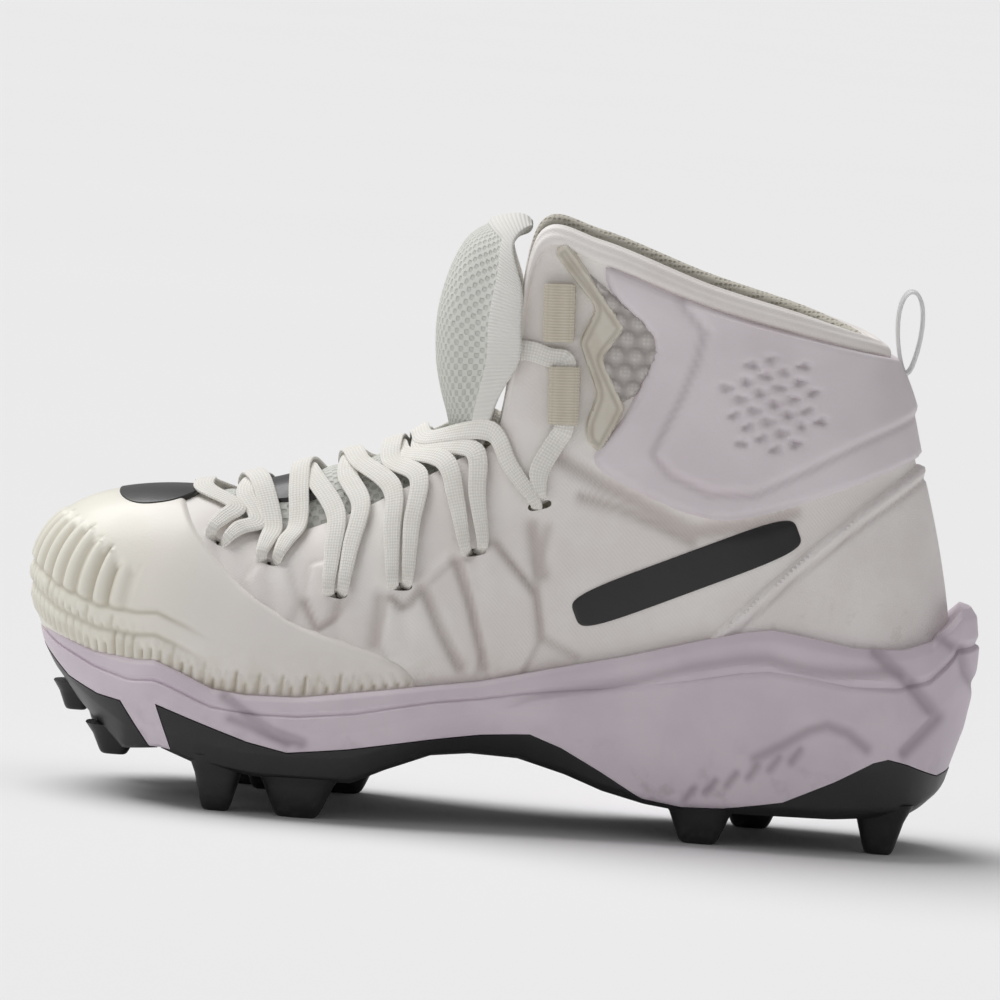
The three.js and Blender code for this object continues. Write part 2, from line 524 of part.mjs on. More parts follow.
// Closed solid through closed loops of points, with flat fans over its two ends.
function solidFromLoops(rows) {
  const n = rows[0].length;
  const centre = (row) => row.reduce((sum, p) => sum.add(p), new THREE.Vector3()).divideScalar(n);
  const position = [...rows.flat(), centre(rows[0]), centre(rows.at(-1))].flatMap((p) => [p.x, p.y, p.z]);
  const index = [];
  for (let r = 0; r < rows.length - 1; r++) {
    for (let i = 0; i < n; i++) {
      const j = (i + 1) % n;
      index.push(r * n + i, r * n + j, (r + 1) * n + j, r * n + i, (r + 1) * n + j, (r + 1) * n + i);
    }
  }
  const [first, last] = [rows.length * n, rows.length * n + 1];
  for (let i = 0; i < n; i++) {
    const j = (i + 1) % n;
    index.push(first, j, i, last, (rows.length - 1) * n + i, (rows.length - 1) * n + j);
  }
  return solidFromTriangles(position, index);
}

// A lace along a smooth line through places: each a point, the way its face looks, and how far it is bunched.
function laceRun(places, steps) {
  const path = new THREE.CatmullRomCurve3(places.map((p) => p.point), false, "centripetal");
  const rows = shares(steps).map((t) => {
    const at = t * (places.length - 1);
    const k = Math.min(Math.floor(at), places.length - 2);
    const blend = (a, b) => a + (b - a) * (at - k);
    const face = places[k].normal.clone().lerp(places[k + 1].normal, at - k).normalize();
    const bunch = blend(places[k].bunch, places[k + 1].bunch);
    const wide = LACE.wide + (BUNCH.wide - LACE.wide) * bunch;
    const thick = LACE.thick + (BUNCH.thick - LACE.thick) * bunch;
    const run = path.getTangent(t);
    const side = new THREE.Vector3().crossVectors(face, run).normalize();
    const over = new THREE.Vector3().crossVectors(run, side);
    return [[-1, 1], [1, 1], [1, -1], [-1, -1]].map(([a, b]) =>
      path.getPoint(t).addScaledVector(side, (a * wide) / 2).addScaledVector(over, (b * thick) / 2),
    );
  });
  return solidFromLoops(rows);
}
// Where a lace runs from a slot up over the wall to the throat edge. arm: -1 for the strand that goes
// towards the toe, 1 for the one that goes up.
function slotPlaces(slot, side, arm) {
  const at = onUpper(slot.along, slot.up, side);
  const turn = side < 0 ? arm : -arm;
  const place = (v, shift, bunch) => {
    const stepLength = formPoint(at.step + 0.5, v).distanceTo(formPoint(at.step - 0.5, v));
    const step = at.step + (turn * shift) / stepLength;
    const lift = (bunch > 0.5 ? BUNCH.thick : LACE.thick) / 2 + LACE.lift * (1 + v * v);
    return { point: offForm(step, v, lift), normal: formNormal(step, v), bunch };
  };
  const lean = -arm * slot.lean;
  return [
    place(at.v, BUNCH.wide / 2 + GAP * 1.5, 1),
    place((at.v + 1) / 2, slot.spread * 0.36 + lean * 0.45, 0.4),
    place(1, slot.spread / 2 + lean, 0.05),
  ];
}
// A lace's place on the tongue at share t of its length and s across it.
function tonguePlace(t, s, lift) {
  const point = tonguePoint(t, s, LACE.thick / 2 + LACE.lift + lift);
  return { point, normal: point.clone().sub(tonguePoint(t, s, 0)).normalize(), bunch: 0 };
}
function makeCrossing(k) {
  const [from, to] = [SLOTS[k], SLOTS[k + 1]];
  const strand = (side) => {
    const over = [-0.5, 0, 0.5].map((s) => {
      const t = from.tongue + (to.tongue - from.tongue) * (s * 0.36 + 0.5);
      return tonguePlace(t, side * -s, from.arch + LACE_ARCH * (1 - 2 * s * s));
    });
    return laceRun([...slotPlaces(from, side, 1), ...over, ...slotPlaces(to, -side, -1).reverse()], 15);
  };
  return largest(strand(-1).add(strand(1)));
}
// The lace's first bar, straight across under the first crossing.
function makeLaceBar() {
  const first = SLOTS[0];
  const over = [-0.5, 0, 0.5].map((s) => tonguePlace(first.tongue - 0.045, s, 3.8));
  return laceRun([...slotPlaces(first, -1, -1), ...over, ...slotPlaces(first, 1, -1).reverse()], 14);
}
// Where a tape loop stands on the upper: its run across, out of the wall, and up.
function tapeFrame([along, up], side) {
  const { point, normal, step, v } = onUpper(along, up, side);
  const rise = formPoint(step, v + 0.05).sub(formPoint(step, v - 0.05)).normalize();
  const upright = new THREE.Vector3(0, 0, 1).addScaledVector(normal, -normal.z).normalize().lerp(rise, 0.15);
  const run = upright.clone().cross(normal).normalize();
  const frame = new THREE.Matrix4().makeBasis(run, normal, run.clone().cross(normal));
  return frame.setPosition(point.clone().addScaledVector(normal, TAPE.deep / 2 + GAP));
}
// A tape folded into a flat tunnel, with its bore upright.
function makeTapeLoop(place, side) {
  const flatOval = (wide, deep) => {
    const shape = new THREE.Shape();
    shape.absellipse(wide / 2 - deep / 2, 0, deep / 2, deep / 2, -Math.PI / 2, Math.PI / 2);
    shape.absellipse(deep / 2 - wide / 2, 0, deep / 2, deep / 2, Math.PI / 2, Math.PI * 1.5);
    return shape;
  };
  const shape = flatOval(TAPE.wide, TAPE.deep);
  shape.holes.push(flatOval(TAPE.wide - TAPE.thick * 2, TAPE.deep - TAPE.thick * 2));
  const tape = new THREE.ExtrudeGeometry(shape, { depth: TAPE.tall, bevelEnabled: false, curveSegments: 3 });
  tape.translate(0, 0, -TAPE.tall / 2);
  return solidOf(tape.applyMatrix4(tapeFrame(place, side)));
}
// The lace at the ankle: up from the last slots, through the lower tape loops and across behind the tongue.
function makeAnkleLace() {
  const flat = LACE.thick / 2 + LACE.lift;
  const oneSide = (side) => {
    const on = ([along, up]) => {
      const { point, normal } = onUpper(along, up, side);
      return { point: point.clone().addScaledVector(normal, flat), normal, bunch: 0.1 };
    };
    const frame = tapeFrame(TAPE_LOOPS[0], side);
    const normal = new THREE.Vector3().setFromMatrixColumn(frame, 1);
    const bore = [-0.6, -0.2, 0.2, 0.6].map((share) => ({
      point: new THREE.Vector3(0, 0, share * TAPE.tall).applyMatrix4(frame), normal, bunch: 0.1,
    }));
    if (bore[0].point.z > bore.at(-1).point.z) bore.reverse();
    const bar = ANKLE_BAR.map(([along, out]) => ({
      point: new THREE.Vector3(along * LENGTH, (side * out * COLLAR_WIDTH) / 2, ANKLE_TURN[1][1] * HEIGHT),
      normal: new THREE.Vector3(-1, 0, 0),
      bunch: 0,
    }));
    return [slotPlaces(SLOTS.at(-1), side, 1)[0], ...ANKLE_RUN.map(on), ...bore, ...ANKLE_TURN.map(on), ...bar];
  };
  return laceRun([...oneSide(-1), ...oneSide(1).reverse().slice(1)], 44);
}
// Pull loop on the back of the collar: a ring of tape that stands over it.
function makePullLoop(cutters) {
  const x = offForm(HEEL_STEP, 0.9, CUFF_THICK + GAP * 2).x + PULL_LOOP.back;
  const z = formPoint(HEEL_STEP, 1).z + PULL_LOOP.rise;
  const oval = (grow) => {
    const shape = new THREE.Shape();
    shape.absellipse(x, z, PULL_LOOP.deep / 2 + grow, PULL_LOOP.tall / 2 + grow, 0, Math.PI * 2);
    return shape;
  };
  const ringShape = oval(0);
  ringShape.holes.push(oval(-PULL_LOOP.thick));
  const upright = { depth: PULL_LOOP.wide, bevelEnabled: false, curveSegments: 10 };
  const loop = new THREE.ExtrudeGeometry(ringShape, upright);
  loop.rotateX(Math.PI / 2);
  loop.translate(0, PULL_LOOP.wide / 2, 0);
  let made = solidOf(loop);
  for (const cutter of cutters) made = made.subtract(cutter);
  return largest(made);
}

const paint = (colour, roughness) => new THREE.MeshStandardMaterial({ color: colour, roughness, metalness: 0 });
const KNIT = paint(0xe9e4e0, 0.75);
const MOULDED = paint(0xd9d2d8, 0.5);
const FOAM = paint(0xcdc2cf, 0.6);
const PLATE = paint(0x1c1c1e, 0.45);
const FILM = paint(0xe6e2cc, 0.4);
const LINING = paint(0xdcded8, 0.9);
const CORD = paint(0xf0efe8, 0.85);

function makeShoe() {
  const block = soleBlock(0);
  const seat = filledForm(GAP);
  const clearOfSole = soleBlock(GAP);
  const clearOfUpper = shell((i, v) => -wallAt(i, v) - GAP * 1.3, () => GAP * 1.3, GAP);
  const cuff = overlay(CUFF_OUTLINE, CUFF_THICK, []);
  const clearOfCuff = overlay(CUFF_OUTLINE, CUFF_THICK + GAP, [], 0, GAP);
  const shoe = new THREE.Group();
  shoe.add(meshOf("outsole", makeOutsole(block, seat), PLATE));
  shoe.add(meshOf("midsole", makeMidsole(block, seat), FOAM));
  shoe.add(meshOf("upper", makeUpper(), KNIT));
  shoe.add(meshOf("insole", makeInsole(), LINING));
  shoe.add(meshOf("tongue", makeTongue([clearOfUpper]), LINING));
  shoe.add(meshOf("ankle_cuff", cuff, MOULDED));
  shoe.add(meshOf("heel_counter", overlay(COUNTER_OUTLINE, COUNTER_THICK, [clearOfSole]), KNIT));
  shoe.add(meshOf("toe_guard", overlay(GUARD_OUTLINE, GUARD_THICK, [clearOfSole]), FILM));
  for (const side of [-1, 1]) {
    const word = side < 0 ? "lateral" : "medial";
    shoe.add(meshOf("eyestay_" + word, overlay(STAY_OUTLINE, STAY_THICK, [clearOfCuff], side), FILM));
    const around = [clearOfCuff, overlay(STAY_OUTLINE, STAY_THICK + GAP, [], side, GAP)];
    shoe.add(meshOf("ankle_film_" + word, overlay(FILM_OUTLINE, FILM_THICK, around, side), FILM));
    TAPE_LOOPS.forEach((place, k) => {
      shoe.add(meshOf("tape_loop_" + word + "_" + (k + 1), makeTapeLoop(place, side), CORD));
    });
  }
  shoe.add(meshOf("lace_bar", makeLaceBar(), CORD));
  shoe.add(meshOf("lace_ankle", makeAnkleLace(), CORD));
  for (let k = 0; k < SLOTS.length - 1; k++) {
    shoe.add(meshOf("lace_crossing_" + (k + 1), makeCrossing(k), CORD));
  }
  shoe.add(meshOf("pull_loop", makePullLoop([clearOfUpper, clearOfCuff]), CORD));
  return shoe;
}

const shoe = makeShoe();
const box = new THREE.Box3().setFromObject(shoe);
shoe.position.set(-(box.min.x + box.max.x) / 2, -(box.min.y + box.max.y) / 2, -box.min.z);

export default shoe;
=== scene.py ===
import bpy
import numpy as np
from mathutils import Matrix, Vector


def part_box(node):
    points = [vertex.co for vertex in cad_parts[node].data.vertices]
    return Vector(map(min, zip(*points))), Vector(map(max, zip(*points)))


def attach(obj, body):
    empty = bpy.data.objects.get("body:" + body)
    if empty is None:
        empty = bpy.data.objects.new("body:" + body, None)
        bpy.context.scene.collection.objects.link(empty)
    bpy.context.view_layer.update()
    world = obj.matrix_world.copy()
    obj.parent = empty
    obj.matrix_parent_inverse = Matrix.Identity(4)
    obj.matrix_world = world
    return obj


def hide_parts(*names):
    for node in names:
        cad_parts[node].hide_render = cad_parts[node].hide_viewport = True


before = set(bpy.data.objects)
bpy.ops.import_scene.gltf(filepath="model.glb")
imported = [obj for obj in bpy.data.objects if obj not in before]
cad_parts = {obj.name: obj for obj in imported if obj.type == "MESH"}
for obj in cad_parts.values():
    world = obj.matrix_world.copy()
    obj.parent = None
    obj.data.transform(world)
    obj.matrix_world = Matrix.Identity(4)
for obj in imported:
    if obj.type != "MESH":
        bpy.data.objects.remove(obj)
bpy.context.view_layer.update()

# Driving sizes, in millimetres
LENGTH = 300.0
BALL_WIDTH = 112.0
HEEL_WIDTH = 86.0
THROAT_WIDTH = 59.0
COLLAR_WIDTH = 74.0
UPPER_HEIGHT = 146.0
SOLE_STACK = 30.0
STUD_LENGTH = 11.5
HEIGHT = STUD_LENGTH + SOLE_STACK + UPPER_HEIGHT
FLARE = 9.0
WALL = 2.4
COLLAR_PAD = 4.2
GAP = 0.3
LACE_WIDE = 6.6
LACE_THICK = 1.5
LACE_LIFT = 0.7
BUNCH_WIDE = 3.6
BUNCH_THICK = 1.8
SIDES = (("lateral", -1), ("medial", 1))

# Ribs of the upper from the toe tip to the back of the heel, as shares of the driving sizes.
# along, lateral, medial; bow along, out, up; top along, out, up; lean along, out, up; flare, tuck, pad
RIBS = np.array([
    [0.032, -0.09, 0.09, -0.062, 0.0, 0.18, 0.168, 0.0, 0.366, -0.173, 0.0, 0.004, 0.8, 1.25, 0.0],
    [0.057, 0.36, 0.55, -0.047, 0.16, 0.18, 0.176, 0.36, 0.373, -0.13, 0.25, -0.003, 0.8, 1.0, 0.0],
    [0.127, 0.71, 0.82, -0.017, 0.17, 0.17, 0.2, 0.72, 0.381, -0.065, 0.31, -0.027, 0.85, 0.45, 0.0],
    [0.21, 0.855, 0.835, -0.003, 0.13, 0.155, 0.252, 0.93, 0.36, -0.025, 0.3, -0.05, 0.92, 0.1, 0.0],
    [0.3, 0.893, 0.786, 0.0, 0.09, 0.145, 0.318, 0.98, 0.417, -0.008, 0.24, -0.09, 0.95, 0.0, 0.0],
    [0.387, 0.855, 0.705, 0.0, 0.08, 0.16, 0.383, 1.0, 0.487, -0.007, 0.24, -0.1, 0.92, 0.3, 0.0],
    [0.46, 0.795, 0.63, -0.003, 0.06, 0.185, 0.432, 0.99, 0.538, 0.0, 0.23, -0.11, 0.9, 0.7, 0.0],
    [0.523, 0.735, 0.575, -0.003, 0.055, 0.2, 0.471, 0.99, 0.58, 0.015, 0.2, -0.12, 0.9, 0.7, 0.2],
    [0.59, 0.895, 0.735, -0.007, 0.08, 0.226, 0.484, 0.87, 0.764, 0.033, 0.13, -0.2, 0.95, 0.45, 0.6],
    [0.657, 0.85, 0.755, -0.007, 0.105, 0.26, 0.502, 0.93, 0.99, 0.033, 0.0, -0.26, 1.0, 0.15, 0.8],
    [0.727, 0.825, 0.78, -0.003, 0.125, 0.26, 0.567, 1.0, 0.972, 0.027, -0.09, -0.295, 1.05, 0.1, 1.0],
    [0.8, 0.8, 0.78, 0.0, 0.125, 0.24, 0.683, 1.0, 0.892, 0.023, -0.13, -0.253, 1.1, 0.1, 1.0],
    [0.877, 0.72, 0.71, 0.003, 0.11, 0.233, 0.793, 0.82, 0.835, 0.03, -0.13, -0.233, 1.1, 0.15, 1.0],
    [0.937, 0.45, 0.44, 0.007, 0.055, 0.226, 0.853, 0.46, 0.8, 0.033, -0.045, -0.22, 1.1, 0.35, 1.0],
    [0.962, 0.0, 0.0, 0.003, 0.0, 0.247, 0.869, 0.0, 0.784, 0.043, 0.0, -0.226, 1.15, 0.5, 1.0],
])
FOREFOOT_RIBS = 8

# Lines of the sole: share of LENGTH, share of SOLE_STACK over the underside of the plate
FOOTBED = np.array([
    [0, 1.08], [0.1, 0.88], [0.2, 0.735], [0.3, 0.67], [0.4, 0.7], [0.5, 0.8], [0.6, 0.9], [0.7, 0.96],
    [0.8, 0.985], [0.9, 1.02], [1, 1.08],
])
RIM = np.array([
    [0, 1.47], [0.033, 1.27], [0.075, 1.14], [0.118, 1.11], [0.138, 1.13], [0.166, 1.03], [0.2, 0.89],
    [0.235, 0.86], [0.29, 0.88], [0.34, 0.96], [0.41, 1.07], [0.475, 1.17], [0.557, 1.37], [0.62, 1.52],
    [0.7, 1.75], [0.743, 1.87], [0.774, 1.92], [0.806, 1.88], [0.86, 1.79], [0.911, 1.79], [0.942, 1.88],
    [0.958, 2.05], [0.972, 2.22], [1, 2.2],
])
SPLIT = np.array([
    [-0.1, 1.6], [0.013, 1.12], [0.047, 0.82], [0.08, 0.7], [0.105, 0.67], [0.139, 0.21], [0.162, 0.21],
    [0.143, 0.68], [0.186, 0.55], [0.24, 0.39], [0.282, 0.31], [0.344, 0.39], [0.417, 0.52], [0.48, 0.62],
    [0.531, 0.66], [0.564, 0.54], [0.608, 0.31], [0.652, 0.06], [0.694, 0.0], [0.736, 0.02], [0.798, 0.14],
    [0.849, 0.39], [0.889, 0.62], [0.904, 0.66], [0.926, 0.6], [0.958, 0.47], [0.974, 0.52], [1.1, 1.2],
])
UNDERSIDE = np.array([
    [0, 0.85], [0.045, 0.6], [0.075, 0.4], [0.11, 0.14], [0.15, 0.21], [0.185, 0.1], [0.25, 0.02], [0.35, 0.02],
    [0.385, 0.18], [0.43, 0.35], [0.47, 0.39], [0.52, 0.37], [0.57, 0.24], [0.61, 0.1], [0.655, 0.0],
    [0.69, -0.04], [0.85, -0.02], [0.93, 0.04], [0.96, 0.18], [0.985, 0.4], [1, 0.6],
])
# Side of the sole from its underside up: share of its height, share of the flare
SIDEWALL = np.array([
    [0.0, 0.1], [0.05, 0.55], [0.3, 0.88], [0.58, 1.0], [0.76, 0.97], [0.785, 0.82], [0.83, 0.9], [0.95, 0.8],
    [1.0, 0.6],
])

# Outlines of what lies on the upper, in the side view: share of LENGTH, share of HEIGHT
CUFF_OUTLINE = [
    [0.575, 1.1], [0.57, 0.915], [0.634, 0.832], [0.603, 0.695], [0.566, 0.622], [0.628, 0.577], [0.682, 0.546],
    [0.723, 0.543], [0.795, 0.58], [0.857, 0.62], [0.915, 0.662], [1.1, 0.72], [1.1, 1.1],
]
COUNTER_OUTLINE = [
    [0.7, 0.3], [0.708, 0.348], [0.78, 0.468], [0.85, 0.57], [0.915, 0.652], [1.1, 0.71], [1.1, 0.3],
]
GUARD_OUTLINE = [
    [-0.1, 0.1], [-0.1, 0.7], [0.14, 0.56], [0.166, 0.46], [0.215, 0.38], [0.28, 0.32], [0.4, 0.27], [0.42, 0.2],
]
STAY_OUTLINE = [
    [0.516, 0.966], [0.542, 0.918], [0.565, 0.878], [0.55, 0.818], [0.573, 0.737], [0.563, 0.684], [0.566, 0.655],
    [0.582, 0.637], [0.604, 0.715], [0.576, 0.796], [0.598, 0.849], [0.53, 0.985],
]
FILM_OUTLINE = [
    [0.536, 0.96], [0.59, 0.852], [0.57, 0.797], [0.598, 0.722], [0.615, 0.74], [0.64, 0.832], [0.575, 0.91],
]
UNDERCUT = 2.0  # how deep the edge of what is laid on the upper goes under its face
BEAD_STOP = 5.2  # how far under the collar's edge the cuff ends, below the bead
INNER_PANEL = [
    (197, 205), (197, 169), (205, 160.5), (203.5, 151), (200, 139.5), (192, 121), (197, 115.7), (209, 111),
    (222.5, 111.5), (237.6, 119.7), (252.7, 128.7), (268.4, 136.6), (330, 160), (330, 205),
]
DIMPLES = dict(x=226, z=139, pitch=6.2, rise=4.6, reach=15.5)
# Ribs of the toe guard, tier by tier from the top, in millimetres: pitch, start, from and to over the rim,
# how far round the toe they reach, depth
GUARD_TIERS = [
    (6.6, 0.3, 15.0, 37.0, 62.0, 1.5),
    (3.3, 0.0, 8.5, 14.0, 70.0, 1.1),
    (3.5, 0.5, 0.5, 7.5, 185.0, 1.3),
]
GUARD_SEAMS = (14.6, 7.9)

# Lines pressed into the vamp and quarter: depth, width, then the line's points in millimetres.
# A depth below zero is a ridge.
CREASES = [
    (1.0, 1.3, [(144.3, 88.7), (156.7, 75.8)]),
    (1.1, 2.2, [(155.1, 95.9), (157.2, 85.3), (159.8, 81.1)]),
    (1.0, 1.5, [(132.1, 82.7), (137.5, 71.1), (143.4, 51.4)]),
    (0.9, 1.7, [(122.7, 73.8), (128.8, 61), (135.9, 50.8)]),
    (-1.0, 1.9, [(121.4, 74.3), (129.5, 83.2)]),
    (-1.1, 2.0, [(136.7, 80.6), (143.6, 88.7)]),
    (0.9, 2.2, [(109.7, 70.2), (108.9, 56.2)]),
    (0.9, 1.3, [(86.6, 66.5), (90.9, 59.2), (95.7, 62.8), (97.6, 70.5)]),
    (0.9, 1.3, [(113.4, 70.5), (116.2, 67.5), (119.3, 69), (122, 74)]),
    (-1.0, 1.9, [(96.5, 84.4), (98, 71)]),
    (-0.8, 2.2, [(63, 68), (53, 58)]),
    (1.0, 1.6, [(169.3, 106), (182.2, 103), (193.5, 99.1), (205, 94.5)]),
    (1.3, 2.3, [(160.1, 118), (175, 111), (188, 105.5), (200, 100), (206, 98), (223, 101), (236, 106)]),
    (0.7, 1.6, [(160, 96), (157.5, 80), (160, 62), (172, 56)]),
]
# Facets that stand over the quarter: height, softness of their edge, outline in millimetres
FACETS = [
    (1.1, 1.5, [(135, 83), (144, 89), (157, 75), (160, 62), (155, 50), (146, 47)]),
    (0.7, 1.4, [(125, 75), (132, 82), (142, 55), (140, 46)]),
    (0.8, 1.5, [(111, 56), (113, 70), (117, 68), (122, 73), (128, 62), (136, 47), (118, 46)]),
    (0.8, 1.5, [(87, 68), (91, 60), (97, 65), (100, 72), (95, 80), (88, 78)]),
    (0.6, 1.8, [(68, 72), (72, 63), (80, 58), (84, 66), (80, 76), (72, 78)]),
]
# Lines cut in the side of the sole, in the same columns, and its slanted plain notches
SOLE_CREASES = [
    (1.2, 1.8, [(64.5, 36.5), (71.2, 32.2), (79.5, 27.4), (89.2, 24.6)]),
    (0.9, 1.6, [(66.6, 30.3), (84.5, 24.2)]),
    (1.4, 2.0, [(265, 64.7), (269.3, 61.4), (276.4, 55.4), (286.2, 45), (276.4, 34)]),
    (1.1, 1.8, [(285.1, 69.6), (292, 66), (294.2, 59.2), (299.2, 52.2)]),
    (1.0, 1.6, [(229.9, 29.5), (237.8, 34.2), (245.6, 39.4), (251.2, 41.5), (257.9, 39.5), (264, 34.7)]),
    *[(1.0, 1.3, [(209 + 6.4 * k, 14 + 3 * k), (211.5 + 6.4 * k, 18 + 3 * k)]) for k in range(6)],
]
# Where the lower body of the sole steps out, along and up in millimetres
STEP_LINE = np.array([
    [150, 39], [159.1, 41.6], [179.3, 46.1], [191.4, 49.1], [199.4, 51.8], [207.4, 54.5], [215.5, 56.5],
    [223.5, 58.3], [231, 59.1], [238.4, 57.5], [244.2, 56.5], [252.5, 56.1], [260.7, 56.6], [269.6, 57.7],
])

# Lace slots from the toe up: share of LENGTH, share of HEIGHT, share of the tongue's length, spread, lean, arch
SLOTS = [
    (0.192, 0.446, 0.1, 8.6, 0.0, 0.2),
    (0.247, 0.418, 0.19, 8.4, 0.0, 0.0),
    (0.318, 0.375, 0.27, 8.5, 0.0, 0.0),
    (0.386, 0.395, 0.355, 9.0, 0.0, 0.0),
    (0.458, 0.459, 0.43, 9.0, 2.0, 1.6),
    (0.523, 0.542, 0.49, 9.0, 15.0, 0.0),
]
SLOT_LONG = 7.5
SLOT_WIDE = 2.6
LACE_ARCH = 1.2
LACE_CROSSING = 1.7  # how far one strand lies over the other where they cross
FIRST_BAR = dict(before=0.045, lift=3.8)
TAPE_LOOPS = [(0.539, 0.728), (0.529, 0.866)]
TAPE_WIDE = 9.6
TAPE_TALL = 18.0
TAPE_DEEP = 5.0
TAPE_THICK = 1.1
PULL_WIDE = 13.0
PULL_THICK = 1.2
PULL_INSET = 0.7  # from the solid's box to the middle of the tape
ANKLE_RUN = [(0.521, 0.6), (0.536, 0.655)]
ANKLE_TURN = [(0.521, 0.792), (0.503, 0.797)]
ANKLE_BAR = [(0.478, 0.88), (0.4785, 0.6), (0.4785, 0.0)]

# Tongue from under the vamp to its top: along, up, turn in degrees, half width, wrap, thickness
TONGUE = np.array([
    [0.155, 0.491, 8, 0.06, 0.014, 0.01],
    [0.2, 0.512, 15, 0.085, 0.038, 0.012],
    [0.26, 0.541, 18, 0.1, 0.074, 0.014],
    [0.32, 0.573, 20, 0.105, 0.075, 0.016],
    [0.375, 0.603, 22, 0.11, 0.066, 0.018],
    [0.416, 0.627, 50, 0.085, 0.036, 0.022],
    [0.421, 0.672, 102, 0.098, 0.045, 0.026],
    [0.408, 0.763, 96, 0.128, 0.08, 0.03],
    [0.407, 0.853, 84, 0.128, 0.081, 0.03],
    [0.423, 0.944, 66, 0.122, 0.069, 0.026],
    [0.452, 0.999, 46, 0.112, 0.044, 0.018],
    [0.497, 1.014, 10, 0.104, 0.03, 0.018],
])
TONGUE_ROWS = 10  # rows to the top edge of the solid; the padded edge rolls on over one more
TONGUE_END = 1.08
TONGUE_CURL = 2.5
# Plain marks: where they are, how far they reach, their tilt and how square they are
SIDE_BAR = dict(centre=(204, 84.5), reach=(37, 6.0), tilt=0.43, square=0.42)
TOE_OVAL = dict(centre=(38, -3), reach=(12.5, 19), tilt=0.0, square=0.85)
TAB_FROM, TAB_TO, TAB_HALF = 0.125, 0.255, 0.62

# Studs: share of LENGTH, share of half BALL_WIDTH, long, wide, height of the tip as a share of STUD_LENGTH
STUDS = [
    (0.1, -0.36, 0.042, 0.22, 1.1),
    (0.088, 0.5, 0.042, 0.22, 1.15),
    (0.054, 0.1, 0.034, 0.2, 2.0),
    (0.212, -0.76, 0.044, 0.24, 0.0),
    (0.234, 0.72, 0.044, 0.24, 0.0),
    (0.296, -0.8, 0.068, 0.24, 0.0),
    (0.336, 0.64, 0.068, 0.24, 0.0),
    (0.262, -0.04, 0.05, 0.26, 0.3),
    (0.714, -0.54, 0.058, 0.22, 0.0),
    (0.772, 0.5, 0.058, 0.22, 0.0),
    (0.903, -0.36, 0.045, 0.22, 0.0),
    (0.908, 0.32, 0.045, 0.22, 0.0),
]
# Taper of a stud: share of the way down, share of its size
STUD_TAPER = np.array([[0.0, 1.5], [0.35, 1.1], [0.9, 0.72], [1.0, 0.6]])


# The shoe's form, ported from its solids
def smooth(p0, p1, p2, p3, t):
    """Catmull-Rom cubic from p1 to p2 at share t, with tangents from the outer two."""
    bend, twist = 2 * p0 - 5 * p1 + 4 * p2 - p3, 3 * p1 - p0 - 3 * p2 + p3
    return 0.5 * (2 * p1 + (p2 - p0) * t + bend * t**2 + twist * t**3)


def line_at(line, x):
    """Height of a line of the sole over the floor at x, straight between its points."""
    return STUD_LENGTH + SOLE_STACK * np.interp(np.asarray(x) / LENGTH, line[:, 0], line[:, 1])


def rib_points(k, side):
    """Four control points of rib k on one side, from the footbed to the throat or collar edge."""
    along, lateral, medial, *rest = RIBS[k][:12]
    bow, top, lean = np.reshape(rest, (3, 3))
    rear = k >= FOREFOOT_RIBS
    half = (HEEL_WIDTH if rear else BALL_WIDTH) / 2
    top_half = (COLLAR_WIDTH if rear else THROAT_WIDTH) / 2
    z = line_at(FOOTBED, along * LENGTH)
    foot = np.array([along * LENGTH, side * (lateral if side < 0 else medial) * half, z])
    head = np.array([top[0] * LENGTH, side * top[1] * top_half, z + top[2] * UPPER_HEIGHT])
    scale = np.array([LENGTH, side * half, UPPER_HEIGHT])
    return [foot, foot + bow * scale, head + lean * scale, head]


LAST_RIB = len(RIBS) - 1
ring_order = [(k, -1) for k in range(LAST_RIB + 1)] + [(k, 1) for k in range(LAST_RIB - 1, 0, -1)]
RING = np.array([rib_points(k, side) for k, side in ring_order])
RING_FLARE, RING_TUCK, RING_PAD = np.array([RIBS[k][12:] for k, side in ring_order]).T
RING_LENGTH = len(ring_order)


def around(values, u):
    """Any number of the ring read smoothly at rib number u, which runs round the shoe."""
    u = np.asarray(u, float)
    k = np.floor(u).astype(int)
    t = (u - k).reshape(u.shape + (1,) * (values.ndim - 1))
    return smooth(*[values[(k + d) % RING_LENGTH] for d in (-1, 0, 1, 2)], t)


def form(u, v):
    """Point of the shoe's form: the cubic Bezier curve of rib u at share v from foot to top."""
    u, v = np.broadcast_arrays(np.asarray(u, float), np.asarray(v, float))
    w = 1 - v
    weights = np.stack([w**3, 3 * w * w * v, 3 * w * v * v, v**3], -1)
    return (around(RING, u) * weights[..., None]).sum(-2)


def unit(a):
    return a / np.maximum(np.linalg.norm(a, axis=-1, keepdims=True), 1e-9)


def normal(u, v):
    """Outward direction of the form: the way round crossed with the way up."""
    v = np.asarray(v, float)
    round_ = form(u + 0.125, v) - form(u - 0.125, v)
    rise = form(u, np.minimum(v + 0.01, 1)) - form(u, np.maximum(v - 0.01, 0))
    return unit(np.cross(round_, rise))


def up_rib(u, v):
    """Direction up the rib, along the form."""
    return unit(form(u, np.minimum(v + 0.03, 1)) - form(u, np.maximum(v - 0.03, 0)))


def off(u, v, distance):
    """Point of the form moved out along its normal."""
    return form(u, v) + normal(u, v) * np.asarray(distance)[..., None]


def wall_at(u, v):
    """Thickness of the upper: the plain wall, and the pad that grows towards the collar."""
    return WALL + COLLAR_PAD * around(RING_PAD, u) * v * v


def foot_normal(u):
    """Outward direction of the foot line in plan."""
    run = around(RING[:, 0], u + 0.125) - around(RING[:, 0], u - 0.125)
    return unit(np.stack([run[..., 1], -run[..., 0], 0 * run[..., 0]], -1))


def ease(t):
    """Smooth step from 0 to 1."""
    t = np.clip(t, 0, 1)
    return t * t * (3 - 2 * t)


